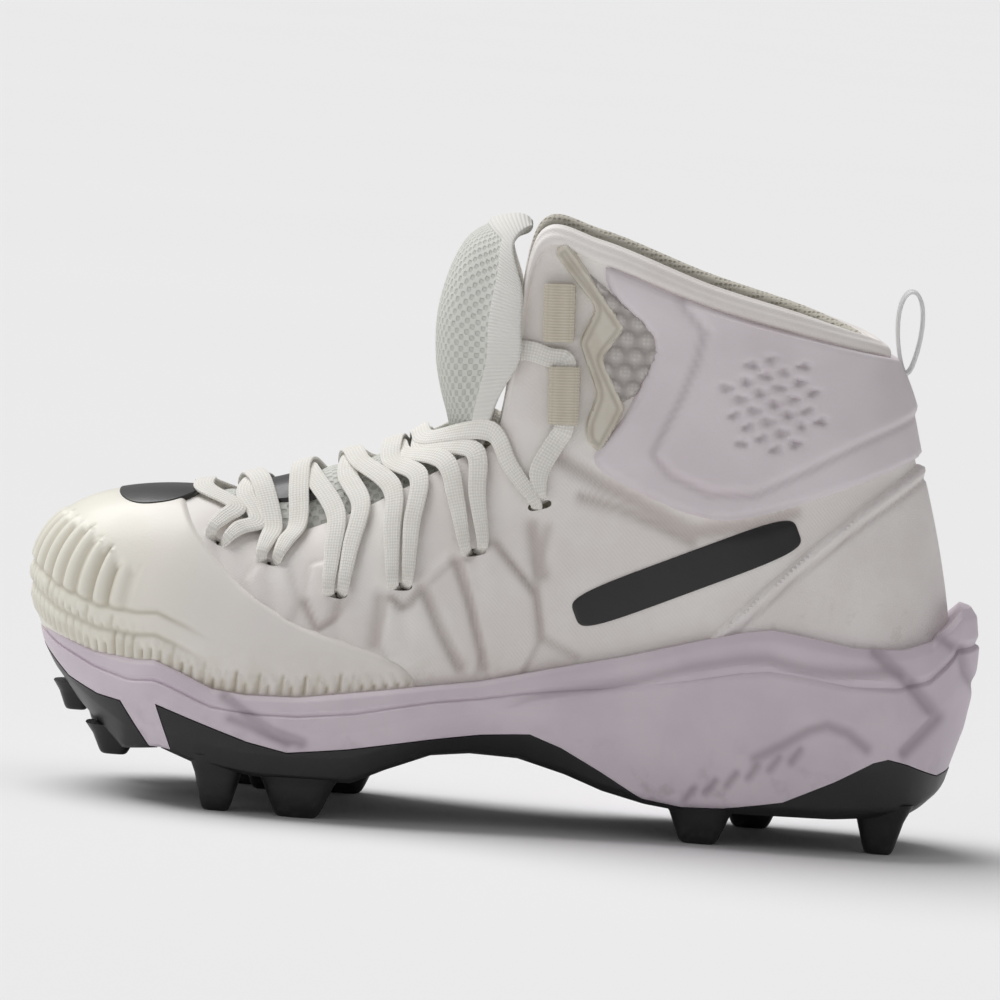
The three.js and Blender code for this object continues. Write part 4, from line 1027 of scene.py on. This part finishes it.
def add_sole():
    plate = sole_block("plate_block", 0.35, RING_LENGTH * 20, False)
    cut(plate, [stud(*row) for row in STUDS], "UNION")
    cut(plate, [split_prism(False)], "INTERSECT")
    cut(plate, [filled_form(GAP)], "DIFFERENCE")
    plate.name = plate.data.name = "outsole_plate"
    finish_piece(plate, plate_rubber(), ["outsole"], sharp=28)
    foam = sole_block("foam_block", 0.0, RING_LENGTH * 36, True)
    cut(foam, [split_prism(True)], "INTERSECT")
    cut(foam, [filled_form(GAP)], "DIFFERENCE")
    foam.name = foam.data.name = "midsole_foam"
    finish_piece(foam, sole_foam(), ["midsole"], sharp=38)


# Upper
def collar_share(u):
    """1 round the collar, 0 along the throat."""
    return ease((around(RING_PAD, u) - 0.35) / 0.4)


def rib_length(u):
    """Length of a rib from foot to top."""
    steps = form(np.asarray(u)[..., None], np.linspace(0, 1, 17))
    return np.linalg.norm(np.diff(steps, axis=-2), axis=-1).sum(-1)


def add_upper():
    """Closed shell round the shoe: outer face with its pressed relief, rolled top edge, inner face.
    The outer face is the form moved out by relief and by the collar's bead, the rim a half circle across the
    wall with a groove between two rolls, the inner face the form moved in by the wall."""
    columns = RING_LENGTH * 19
    u = np.linspace(0, RING_LENGTH, columns, endpoint=False)
    v = np.concatenate([np.linspace(0, 0.88, 76), np.linspace(0.88, 1, 26)[1:]])[:, None]
    p = form(u, v)
    x, z = p[..., 0], p[..., 2]
    from_top = (1 - v) * rib_length(u)
    # relief height, and the painted shade in its troughs; the rim and inner face get none
    lift, painted_shade = relief(CREASES, FACETS, x, z)
    covers = [side_outline(outline) for outline in (CUFF_OUTLINE, COUNTER_OUTLINE, GUARD_OUTLINE)]
    bare = np.prod([1 - ease(depth_inside(cover, x, z) / 2) for cover in covers], 0) * ease((z - 44) / 8)
    lift, painted_shade = lift * bare, painted_shade * bare
    for along, up, *_ in SLOTS:
        foot = np.array([[along * LENGTH, up * HEIGHT], [along * LENGTH + 3, up * HEIGHT - 15]])
        lift -= 0.7 * np.exp(-((line_distance(foot, x, z) / 2.6) ** 2))
    lift *= ease(from_top / 3)
    bead = np.sqrt(np.clip(1 - ((from_top - 2.3) / 2.6) ** 2, 0, 1))
    lift = lift + 1.7 * bead * collar_share(u)
    outer = p + normal(u, v) * lift[..., None]
    wall = wall_at(u, np.ones(columns))
    turn = np.linspace(0, np.pi, 15)[1:-1][:, None]
    groove = 1 - 0.28 * collar_share(u) * np.exp(-(((turn - 1.25) / 0.2) ** 2))
    middle = off(u, np.ones(columns), -wall / 2)
    across = normal(u, np.ones(columns)) * (wall / 2)[:, None]
    upward = (np.sin(turn) * wall * 0.45)[..., None] * up_rib(u, np.ones(columns))
    rim = middle + (np.cos(turn)[..., None] * across + upward) * groove[..., None]
    v_in = np.linspace(1, 0, 40)[:, None]
    inner = off(u, v_in, -wall_at(u, v_in))
    rows = np.concatenate([outer, rim, inner])
    faces = grid_faces(len(rows), columns, True, True)
    parts = np.repeat((np.arange(len(rows)) >= len(outer) + 7).astype(int), columns)
    painted_shade = np.concatenate([painted_shade, np.zeros((len(rim) + len(inner), columns))])
    made = object_of(mesh_of("upper_shell", rows, faces, parts=parts, painted_shade=painted_shade))
    cut(made, [slot_cutter(row[0], row[1], side) for row in SLOTS for side in (-1, 1)], "DIFFERENCE")
    finish_piece(made, [white_shell(), lining_knit()], ["upper"], sharp=50)


def slot_cutter(along, up, side):
    """A slot through the wall across the rib: a long rounded bar."""
    u, v = place_on_upper(along, up, side)
    centre, out, rib = form(u, v), normal(u, v), up_rib(u, v)
    run = np.cross(rib, out)
    flat, high = squared(24, 0.5, 1)
    section = run * (flat * SLOT_LONG / 2)[:, None] + rib * (high * SLOT_WIDE / 2)[:, None]
    rows = centre + section + out * np.array([-WALL * 2, WALL * 2])[:, None, None]
    return object_of(mesh_of("slot", *closed_tube(rows)))


def laid_on(name, outline, span, size, thick, soft, height, finish, node, v_span=(0, 1), stop=None):
    """A skin laid on the upper: the form moved out by the thickness, which eases down through the upper's face
    along its outline. height adds the skin's own relief and its painted shade. span and v_span bound it on the
    ring, size is a cell's.
    cell's. stop keeps it that far under the upper's edge."""
    u = np.linspace(*span, int((span[1] - span[0]) * 23 / size))
    v = np.linspace(*v_span, int((v_span[1] - v_span[0]) * 130 / size))[:, None]
    p = form(u, v)
    x, z = p[..., 0], p[..., 2]
    depth = depth_inside(outline, x, z)
    if stop:
        depth = np.minimum(depth, (1 - v) * rib_length(u) - stop)
    edge = ease(depth / soft + 0.5)
    lift, painted_shade = height(u, v, x, z, depth)
    out = (thick + GAP + lift) * edge - UNDERCUT * (1 - edge)
    top = p + normal(u, v) * out[..., None]
    bottom = off(u, v, np.full(out.shape, -UNDERCUT - 0.2))
    near = depth > -soft * 0.75
    keep = near[:-1, :-1] | near[:-1, 1:] | near[1:, 1:] | near[1:, :-1]
    # the underside gets no painted shade
    painted_shade = np.concatenate([painted_shade, 0 * painted_shade])
    points = np.concatenate([top, bottom])
    return piece(name, points, sheet_faces(keep), finish, [node], sharp=55, painted_shade=painted_shade)


def cuff_height(u, v, x, z, depth):
    """Inner panel raised by a bevel, a shallow round field with a staggered lattice of lozenge dimples,
    and a soft crown so that the foam under it looks full. Painted shade lies in the dimples and along the foot
    of the panel's bevel."""
    inner = depth_inside(np.array(INNER_PANEL, float), x, z)
    panel = 1.5 * ease(inner / 2.4 + 0.5)
    dx, dz, pitch, rise = x - DIMPLES["x"], z - DIMPLES["z"], DIMPLES["pitch"], DIMPLES["rise"]
    fx, fz = dx * 0.94 + dz * 0.34, dz * 0.94 - dx * 0.34
    row = np.round(fz / rise)
    cx = (np.round(fx / pitch - 0.5 * (row % 2)) + 0.5 * (row % 2)) * pitch
    hole = 1 - (np.abs(fx - cx) / 2.5 + np.abs(fz - row * rise) / 1.8)
    dimple = ease(hole * 2.2) * (np.hypot(cx, row * rise) < DIMPLES["reach"])
    crown = 0.8 * ease(depth / 16)
    return panel + crown - 1.5 * dimple, 0.45 * dimple + 0.6 * np.exp(-(((inner + 1.6) / 1.2) ** 2))


def counter_height(u, v, x, z, depth):
    """Raised welt along the top edge of the heel counter, with a sewn channel under it and painted shade in the
    channel.
    """
    channel = np.exp(-(((depth - 4.6) / 0.8) ** 2))
    return 0.9 * np.exp(-(((depth - 1.9) / 1.1) ** 2)) - 0.6 * channel, 0.7 * channel


def guard_height(u, v, x, z, depth):
    """Three tiers of upright ribs with a seam under each of the upper two. A rib rises fast and falls slowly
    by the way s round the toe, and its tier's top sinks along the shoe. Painted shade lies between the ribs
    and in the seams."""
    fine = np.linspace(-9, 9, 721)
    run = np.concatenate([[0], np.cumsum(np.linalg.norm(np.diff(form(fine, 0.3), axis=0), axis=1))])
    s = np.abs(np.interp(u, fine, run) - np.interp(0, fine, run)) + 0 * z
    high = z - line_at(RIM, x)
    lift, painted_shade = np.zeros((2, *z.shape))
    for pitch, start, low, top, reach, depth_cut in GUARD_TIERS:
        turn = (s / pitch + start) % 1
        ridge = np.minimum(turn / 0.2, (1 - turn) / 0.5).clip(0, 1)
        crest = top - 4.0 * turn - (top - low) * 0.35 * ease((s - reach * 0.45) / (reach * 0.5))
        zone = ease((high - low) / 1.6 + 0.5) * ease((crest - high) / 2.0 + 0.5) * ease((reach - s) / 12)
        lift += zone * depth_cut * (ridge - 0.55)
        painted_shade += zone * (1 - ridge) * 0.9
    for level in GUARD_SEAMS:
        seam = np.exp(-(((high - level) / 0.9) ** 2)) * ease((90 - s) / 20)
        lift -= 0.6 * seam
        painted_shade += 0.6 * seam
    return lift, painted_shade


def stay_height(u, v, x, z, depth):
    """A shallow channel just inside the edge of the zigzag stay, with painted shade in it."""
    channel = np.exp(-(((depth - 2.0) / 0.6) ** 2))
    return -0.4 * channel, 0.6 * channel


def film_height(u, v, x, z, depth):
    """Even hexagonal lattice of round domes under the film, with painted shade between the domes."""
    px, pz = 6.0, 5.2
    row = np.round(z / pz)
    cx = (np.round(x / px - 0.5 * (row % 2)) + 0.5 * (row % 2)) * px
    far = np.hypot(x - cx, z - row * pz)
    dome = ease((2.7 - far) / 1.3)
    return 0.9 * dome, 0.6 * (1 - dome)


def add_skins():
    laid_on("ankle_cuff_skin", side_outline(CUFF_OUTLINE, 4), (6.2, 21.8), 1.25, 2.4, 2.6, cuff_height,
            moulded_cuff(), "ankle_cuff", (0.28, 1), BEAD_STOP)
    laid_on("heel_counter_skin", side_outline(COUNTER_OUTLINE, 3), (9.0, 19.0), 1.2, 1.5, 1.2, counter_height,
            counter_skin(), "heel_counter", (0, 0.85))
    laid_on("toe_guard_film", side_outline(GUARD_OUTLINE, 4), (-6.5, 6.5), 0.85, 1.1, 4.0, guard_height,
            toe_film(), "toe_guard")
    stay, film = stay_film(), clear_film()
    stay_edge, film_edge = side_outline(STAY_OUTLINE, 1.2), side_outline(FILM_OUTLINE, 1.2)
    for word, side in SIDES:
        span = (6.4, 10.6) if side < 0 else (17.4, 21.6)
        laid_on("eyestay_" + word + "_film", stay_edge, span, 0.6, 2.0, 0.9, stay_height,
                stay, "eyestay_" + word, (0.35, 1))
        laid_on("ankle_film_" + word + "_skin", film_edge, span, 0.7, 0.9, 1.0, film_height,
                film, "ankle_film_" + word, (0.35, 1))


# Insole
def add_insole():
    """Closed pad in the foot: the foot line drawn in by the wall, dished a little, with a rolled edge."""
    columns = RING_LENGTH * 12
    u = np.linspace(0, RING_LENGTH, columns, endpoint=False)
    edge = off(u, np.zeros(columns), np.full(columns, -WALL - 1.2))
    mid = np.stack([edge[:, 0], 0 * edge[:, 1], edge[:, 2]], -1)
    mid[:, 1] = (edge[:, 1] + edge[(-np.arange(columns)) % columns][:, 1]) / 2
    base = around(RING[:, 0], u)[:, 2]
    # share of the way in from the edge, height over the footbed
    shares = [(0.0, 0.4), (0.0, 2.6), (0.03, 3.6), (0.1, 3.9), (0.25, 3.6), (0.5, 3.4), (0.75, 3.3), (1.0, 3.3)]
    rows = []
    for inward, height in shares:
        row = edge + (mid - edge) * inward
        row[:, 2] = base + height
        rows.append(row)
    under = mid.copy()
    under[:, 2] = base + 0.4
    rows.append(under)
    faces = grid_faces(len(rows), columns, True, True)
    piece("insole_pad", np.stack(rows), faces, insole_cloth(), ["insole"], sharp=60)


# Tongue
def tongue_row(t):
    """The tongue's table read smoothly at share t of its length."""
    at = np.asarray(t, float) * TONGUE_ROWS
    k = np.clip(np.floor(at).astype(int), 0, len(TONGUE) - 2)
    rows = [TONGUE[np.clip(k + d, 0, len(TONGUE) - 1)] for d in (-1, 0, 1, 2)]
    return np.moveaxis(smooth(*rows, (at - k)[..., None]), -1, 0)


def tongue_point(t, s, over):
    """Front face at share t along and s across. It bends back by the wrap times a power of s; over lifts it."""
    t, s = np.broadcast_arrays(np.asarray(t, float), np.asarray(s, float))
    along, up, turn, half, wrap, _ = tongue_row(t)
    turn, half, wrap = np.radians(turn), half * LENGTH, wrap * LENGTH
    fall = np.abs(s) ** TONGUE_CURL
    slope = np.where(s == 0, 0, TONGUE_CURL * wrap * fall / np.where(s == 0, 1, half * s))
    face = unit(np.stack([-np.sin(turn), slope, np.cos(turn)], -1))
    middle = np.stack([along * LENGTH, half * s, up * HEIGHT], -1)
    front = np.stack([-np.sin(turn), 0 * turn, np.cos(turn)], -1)
    return middle - front * (wrap * fall)[..., None] + face * np.asarray(over)[..., None]


def add_tongue():
    """Padded tongue: front and back faces between rounded sides, quilted low down, with a thin bound edge."""
    t = np.linspace(0, TONGUE_END, 200)[:, None]
    s, side = squared(96, 0.7, 0.5)
    narrow = 1 - 0.5 * ((t - 0.88) / (TONGUE_END - 0.88)).clip(0, 1) ** 2.4
    thick = np.interp(t, np.arange(len(TONGUE)) / TONGUE_ROWS, TONGUE[:, 5]) * LENGTH * (1 - 0.7 * s**4)
    rounded_end = np.sqrt(np.clip(1 - ((t - TONGUE_END + 0.035) / 0.036).clip(0, 1) ** 2, 0.02, 1))
    quilt = 0.7 * np.cos(t * 11 * 2 * np.pi) * ease((0.5 - t) / 0.1) * (1 - s**2)
    pillow = 1.6 * ease((t - 0.55) / 0.1) * ease((1.0 - t) / 0.08) * ease((0.78 - np.abs(s)) / 0.3)
    binding = np.maximum(ease((np.abs(s) - 0.78) / 0.04), ease((t - 0.985) / 0.01)) * ease((t - 0.5) / 0.06)
    over = np.where(side > 0, (side - 1) * thick * 0.3 + (quilt + pillow + binding) * side, 0)
    over = np.where(side <= 0, -thick * 0.3 + side * thick * 0.7, over)
    over = -thick * 0.45 + (over + thick * 0.45) * rounded_end
    points, faces = closed_tube(tongue_point(t, s * narrow, over))
    uv = np.stack([t * 140 + 0 * s, s * 34 + 0 * t], -1)
    uv = np.vstack([uv.reshape(-1, 2), [[0, 0], [140, 0]]])
    cell_t, cell_s = (grid.ravel() for grid in np.broadcast_arrays(t[:-1], s))
    bound = ((np.abs(cell_s) > 0.79) | (cell_t > 0.987)) & (cell_t > 0.5)
    parts = np.concatenate([bound.astype(int), np.zeros(len(s), int), np.ones(len(s), int)])
    made = piece("tongue_pad", points, faces, [tongue_mesh(), binding_tape()],
                 ["tongue"], 60, uv, parts)


# Laces
def curve_through(places, t):
    """Centripetal Catmull-Rom line through points: hermite pieces whose tangents weigh the chords' roots."""
    p = np.vstack([2 * places[0] - places[1], places, 2 * places[-1] - places[-2]])
    at = t * (len(places) - 1)
    k = np.clip(np.floor(at).astype(int), 0, len(places) - 2)
    w = (at - k)[:, None]
    a, b, c, d = (p[k + n] for n in range(4))
    chords = ((b, a), (c, b), (d, c))
    step = [np.sqrt(np.linalg.norm(q - r, axis=1, keepdims=True)).clip(1e-4) for q, r in chords]
    t1 = ((b - a) / step[0] - (c - a) / (step[0] + step[1]) + (c - b) / step[1]) * step[1]
    t2 = ((c - b) / step[1] - (d - b) / (step[1] + step[2]) + (d - c) / step[2]) * step[1]
    return b + t1 * w + (-3 * b + 3 * c - 2 * t1 - t2) * w**2 + (2 * b - 2 * c + t1 + t2) * w**3


def ribbon(places, normals, bunches, steps):
    """Flat lace along a smooth line through places: a rounded flat section, bunched narrower where it says
    so. Gives points, faces and a map of millimetres along and across."""
    places, normals, bunches = np.array(places), np.array(normals), np.array(bunches, float)
    t = np.linspace(0, 1, steps)
    at = t * (len(places) - 1)
    k = np.clip(np.floor(at).astype(int), 0, len(places) - 2)
    w = at - k
    middle = curve_through(places, t)
    face = unit(normals[k] * (1 - w)[:, None] + normals[k + 1] * w[:, None])
    bunch = bunches[k] * (1 - w) + bunches[k + 1] * w
    wide = LACE_WIDE + (BUNCH_WIDE - LACE_WIDE) * bunch
    thick = LACE_THICK + (BUNCH_THICK - LACE_THICK) * bunch
    run = unit(np.gradient(middle, axis=0))
    side = unit(np.cross(face, run))
    over = np.cross(run, side)
    flat, high = squared(20, 0.7, 0.8)
    high = high * (1 + 0.12 * np.cos(2 * np.linspace(0, 2 * np.pi, 20, endpoint=False)))
    rows = (
        middle[:, None]
        + side[:, None] * (flat * wide[:, None] / 2)[..., None]
        + over[:, None] * (high * thick[:, None] / 2)[..., None]
    )
    length = np.concatenate([[0], np.cumsum(np.linalg.norm(np.diff(middle, axis=0), axis=1))])
    uv = np.stack([length[:, None] + 0 * flat, flat * LACE_WIDE / 2 + 0 * length[:, None]], -1)
    return *closed_tube(rows), np.vstack([uv.reshape(-1, 2), [[0, 0], [length[-1], 0]]])


def ribbons(name, runs, finish, nodes):
    """Several ribbons as one piece, each turned outwards by itself."""
    points, faces, uvs, start = [], [], [], 0
    for p, f, uv in runs:
        points.append(p)
        faces.append((f if volume(p, f) > 0 else f[:, ::-1]) + start)
        uvs.append(uv)
        start += len(p)
    piece(name, np.vstack(points), np.vstack(faces), finish, nodes, 60, np.vstack(uvs))


def slot_run(slot, side, arm):
    """Where a lace comes up through a slot and over the wall to the throat edge: inside the shoe, in the
    slot's mouth, half way up and at the edge. arm is -1 towards the toe, and lean shifts the strand."""
    along, up, _, spread, lean, _ = slot
    u, v = place_on_upper(along, up, side)
    turn = arm if side < 0 else -arm

    def moved(shift, row):
        """Ring number that many millimetres along from the slot, measured at share row up the rib."""
        return u + turn * shift / (np.linalg.norm(form(u + 0.25, row) - form(u - 0.25, row)) * 2)

    def clear_of(row):
        return LACE_THICK / 2 + LACE_LIFT * (1 + row * row)

    half = (v + 1) / 2
    inside, high = moved(1.7, v), moved(spread * 0.36 - arm * lean * 0.45, half)
    edge = moved(spread / 2 - arm * lean, 1.0)
    places = [
        off(inside, v, -WALL - 1.6),
        off(moved(2.2, 1.0), v + 0.02, BUNCH_THICK / 2 + LACE_LIFT),
        off(high, half, clear_of(half)),
        off(edge, 1.0, clear_of(1.0)),
    ]
    normals = [normal(inside, v), normal(moved(1.75, v), v), normal(high, half), normal(edge, 1.0)]
    return places, normals, [1.0, 1.0, 0.4, 0.05]


def on_tongue(t, s, lift):
    """A lace's place over the tongue, and its way out from it."""
    point = tongue_point(t, s, LACE_THICK / 2 + LACE_LIFT + lift)
    return point, unit(point - tongue_point(t, s, 0.0))


def joined(first, middle, last):
    """Places of a run: up from one slot, over the tongue, and down into another."""
    over = [on_tongue(*place) for place in middle]
    back = [part[::-1] for part in last]
    return (
        first[0] + [point for point, _ in over] + back[0],
        first[1] + [face for _, face in over] + back[1],
        first[2] + [0.0] * len(over) + back[2],
    )


def add_laces():
    cord = lace_braid()
    for k in range(len(SLOTS) - 1):
        low, high = SLOTS[k], SLOTS[k + 1]
        runs = []
        for side in (-1, 1):
            under = 0.0 if (side < 0) == (k % 2 == 0) else LACE_CROSSING
            over = []
            for s in (-0.5, -0.2, 0.1, 0.4):
                t = low[2] + (high[2] - low[2]) * (s * 0.36 + 0.5)
                over.append((t, side * -s, low[5] + (LACE_ARCH + under) * (1 - 2 * s * s)))
            runs.append(ribbon(*joined(slot_run(low, side, 1), over, slot_run(high, -side, -1)), 110))
        ribbons("lace_" + str(k + 1), runs, cord, ["lace_crossing_" + str(k + 1)])
    first = SLOTS[0]
    over = [(first[2] - FIRST_BAR["before"], s, FIRST_BAR["lift"]) for s in (-0.5, 0, 0.5)]
    bar = ribbon(*joined(slot_run(first, -1, -1), over, slot_run(first, 1, -1)), 90)
    ribbons("lace_first_bar", [bar], cord, ["lace_bar"])
    ribbons("lace_at_ankle", [ribbon(*ankle_run(), 260)], cord, ["lace_ankle"])


def tape_frame(place, side):
    """Where a tape loop stands on the upper: its middle, and its ways across, out of the wall and up."""
    u, v = place_on_upper(*place, side)
    out = normal(u, v)
    rise = unit(form(u, v + 0.05) - form(u, v - 0.05))
    level = unit(np.array([0, 0, 1.0]) - out * out[2])
    upright = level + (rise - level) * 0.15
    run = unit(np.cross(upright, out))
    return form(u, v) + out * (TAPE_DEEP / 2 + GAP), run, out, np.cross(run, out)


def lie_on(spots, side, points, ways):
    """Adds a lace's places flat on the upper, and their ways out."""
    for spot in spots:
        u, v = place_on_upper(*spot, side)
        points.append(off(u, v, LACE_THICK / 2 + LACE_LIFT))
        ways.append(normal(u, v))


def ankle_run():
    """Up from the last slots, through the lower tape loops and across behind the tongue."""
    places, normals, bunches = [], [], []
    for side in (-1, 1):
        first = slot_run(SLOTS[-1], side, 1)
        points, ways = first[0][:2], first[1][:2]
        lie_on(ANKLE_RUN, side, points, ways)
        centre, run, out, up = tape_frame(TAPE_LOOPS[0], side)
        bore = [centre + up * share * TAPE_TALL for share in (-0.6, -0.2, 0.2, 0.6)]
        points += bore if bore[0][2] < bore[-1][2] else bore[::-1]
        ways += [out] * 4
        lie_on(ANKLE_TURN, side, points, ways)
        level = ANKLE_TURN[1][1] * HEIGHT
        for along, wide in ANKLE_BAR:
            points.append(np.array([along * LENGTH, side * wide * COLLAR_WIDTH / 2, level]))
            ways.append(np.array([-1.0, 0, 0]))
        bunch = [1.0] * 2 + [0.1] * (len(points) - 2)
        if side < 0:
            places, normals, bunches = points, ways, bunch
        else:
            places += points[::-1][1:]
            normals += ways[::-1][1:]
            bunches += bunch[::-1][1:]
    return places, normals, bunches


def tape_oval(a, inset):
    """Flat oval of the folded webbing, drawn in by inset: a round bore pulled apart to both sides."""
    deep, wide = TAPE_DEEP / 2 - inset, TAPE_WIDE / 2 - inset
    apart = np.sign(np.cos(a)) * (wide - deep) * ease(np.abs(np.cos(a)) * 6)
    return np.stack([np.clip(np.cos(a) * deep * 1.6, -deep, deep) + apart, np.sin(a) * deep], -1)


def add_tape_loops():
    """Folded webbing: a flat oval round a bore, carried up the loop, with its ends rounded over."""
    tape = webbing()
    a = np.linspace(0, 2 * np.pi, 72, endpoint=False)
    outer, tall = squared(28, 0.5, 0.35)
    tall = tall * TAPE_TALL / 2
    sections = np.stack([tape_oval(a, inset) for inset in TAPE_THICK / 2 * (1 - outer)])
    uv = np.stack([a * 5 + 0 * tall[:, None], tall[:, None] + 0 * a], -1)
    faces = grid_faces(28, 72, True, True)
    for word, side in SIDES:
        for k, place in enumerate(TAPE_LOOPS):
            centre, run, out, up = tape_frame(place, side)
            points = centre + sections[..., :1] * run + sections[..., 1:] * out + tall[:, None, None] * up
            name = "tape_loop_" + word + "_" + str(k + 1)
            piece(name + "_webbing", points, faces, tape, [name], 60, uv)


def add_pull_loop():
    """Loop of tape over the heel: an oval line in the side view, narrow at its foot, with a flat section."""
    low, high = (np.array(corner) * 1000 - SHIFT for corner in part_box("pull_loop"))
    t = np.linspace(0, 2 * np.pi, 120, endpoint=False)
    rise = (1 - np.cos(t)) / 2
    width = np.sin(t) * (0.55 + 0.45 * rise)
    deep, tall = (high[0] - low[0]) / 2 - PULL_INSET, high[2] - low[2]
    middle_x = (low[0] + high[0]) / 2 + deep * width
    middle_z = low[2] + PULL_INSET + (tall - 2 * PULL_INSET) * rise
    middle = np.stack([middle_x, 0 * t, middle_z], -1)
    run = unit(np.roll(middle, -1, 0) - np.roll(middle, 1, 0))
    side = np.array([0, 1.0, 0])
    over = np.cross(run, side)
    flat, thick = squared(24, 0.4, 0.7)
    flat, thick = flat * PULL_WIDE / 2, thick * PULL_THICK / 2
    points = middle[:, None] + side * flat[:, None] + over[:, None] * thick[:, None]
    uv = np.stack([t[:, None] * 12 + 0 * flat, flat + 0 * t[:, None]], -1)
    faces = grid_faces(120, 24, True, True)
    piece("pull_loop_tape", points, faces, pull_tape(), ["pull_loop"], 60, uv)


# Plain marks
def on_form(goal, axes, start):
    """Ring places whose points meet a goal in two of the three axes: Newton steps from one starting place."""
    u, v = (np.full(goal.shape[:-1], value) for value in start)
    for _ in range(40):
        p = form(u, v)[..., axes]
        du = (form(u + 0.02, v)[..., axes] - p) / 0.02
        dv = (form(u, v + 0.004)[..., axes] - p) / 0.004
        miss = goal - p
        area = du[..., 0] * dv[..., 1] - du[..., 1] * dv[..., 0]
        u_step = (miss[..., 0] * dv[..., 1] - miss[..., 1] * dv[..., 0]) / area
        v_step = (du[..., 0] * miss[..., 1] - du[..., 1] * miss[..., 0]) / area
        u = u + np.clip(u_step, -0.4, 0.4)
        v = np.clip(v + np.clip(v_step, -0.08, 0.08), 0, 0.99)
    return u, v


def printed(name, axes, start, lift, finish, centre, reach, tilt, square):
    """A thin plain print on the shoe: an outline whose cosine and sine are drawn to the corners by square, in
    the side view or in plan and turned by tilt. Its face stands at lift over the form, and its edge goes under
    the surface."""
    share = np.concatenate([np.linspace(0.04, 0.9, 22), [0.94, 0.965, 0.98, 0.99, 1.0, 1.008]])
    rise = np.concatenate([np.full(25, lift), [lift - 0.06, lift - 0.3, -0.6]])
    x, y = np.moveaxis(share[:, None, None] * np.stack(squared(200, square, square), -1) * reach, -1, 0)
    c, s = np.cos(tilt), np.sin(tilt)
    goal = np.array(centre) + np.stack([x * c - y * s, x * s + y * c], -1)
    u, v = on_form(goal, axes, start)
    p = form(u, v)
    height, _ = relief(CREASES, FACETS, p[..., 0], p[..., 2])
    height *= ease((p[..., 2] - 44) / 8) if axes[1] == 2 else 0
    face = p + normal(u, v) * (height + rise[:, None])[..., None]
    under = off(u, v, np.full(u.shape, -1.0))[::-1]
    points, faces = closed_tube(np.concatenate([face, under]))
    piece(name, points, faces, finish, [], sharp=50)


def add_marks():
    """A plain black bar on each side, a plain black oval on the toe, and a plain black tab on the tongue
    under the first laces."""
    black = black_mark()
    for word, start in (("lateral", (8.6, 0.3)), ("medial", (19.4, 0.3))):
        printed("side_bar_" + word, [0, 2], start, 0.55, black, **SIDE_BAR)
    printed("toe_oval", [0, 1], (0.0, 0.8), GAP + 1.1 + 0.35, black, **TOE_OVAL)
    t = np.linspace(TAB_FROM, TAB_TO, 60)[:, None]
    s = np.linspace(-TAB_HALF, TAB_HALF, 60)[None, :]
    ends = np.minimum(ease((t - TAB_FROM) / 0.006), ease((TAB_TO - t) / 0.006))
    edge = np.minimum(ease((TAB_HALF - np.abs(s)) / 0.04), ends)
    face = tongue_point(t, s, -0.8 + 2.2 * edge)
    under = tongue_point(t, s, np.full(edge.shape, -1.6))
    faces = sheet_faces(np.ones((59, 59), bool))
    piece("tongue_tab", np.concatenate([face, under]), faces, black, [], sharp=50)


add_sole()
add_upper()
add_skins()
add_insole()
add_tongue()
add_laces()
add_tape_loops()
add_pull_loop()
add_marks()
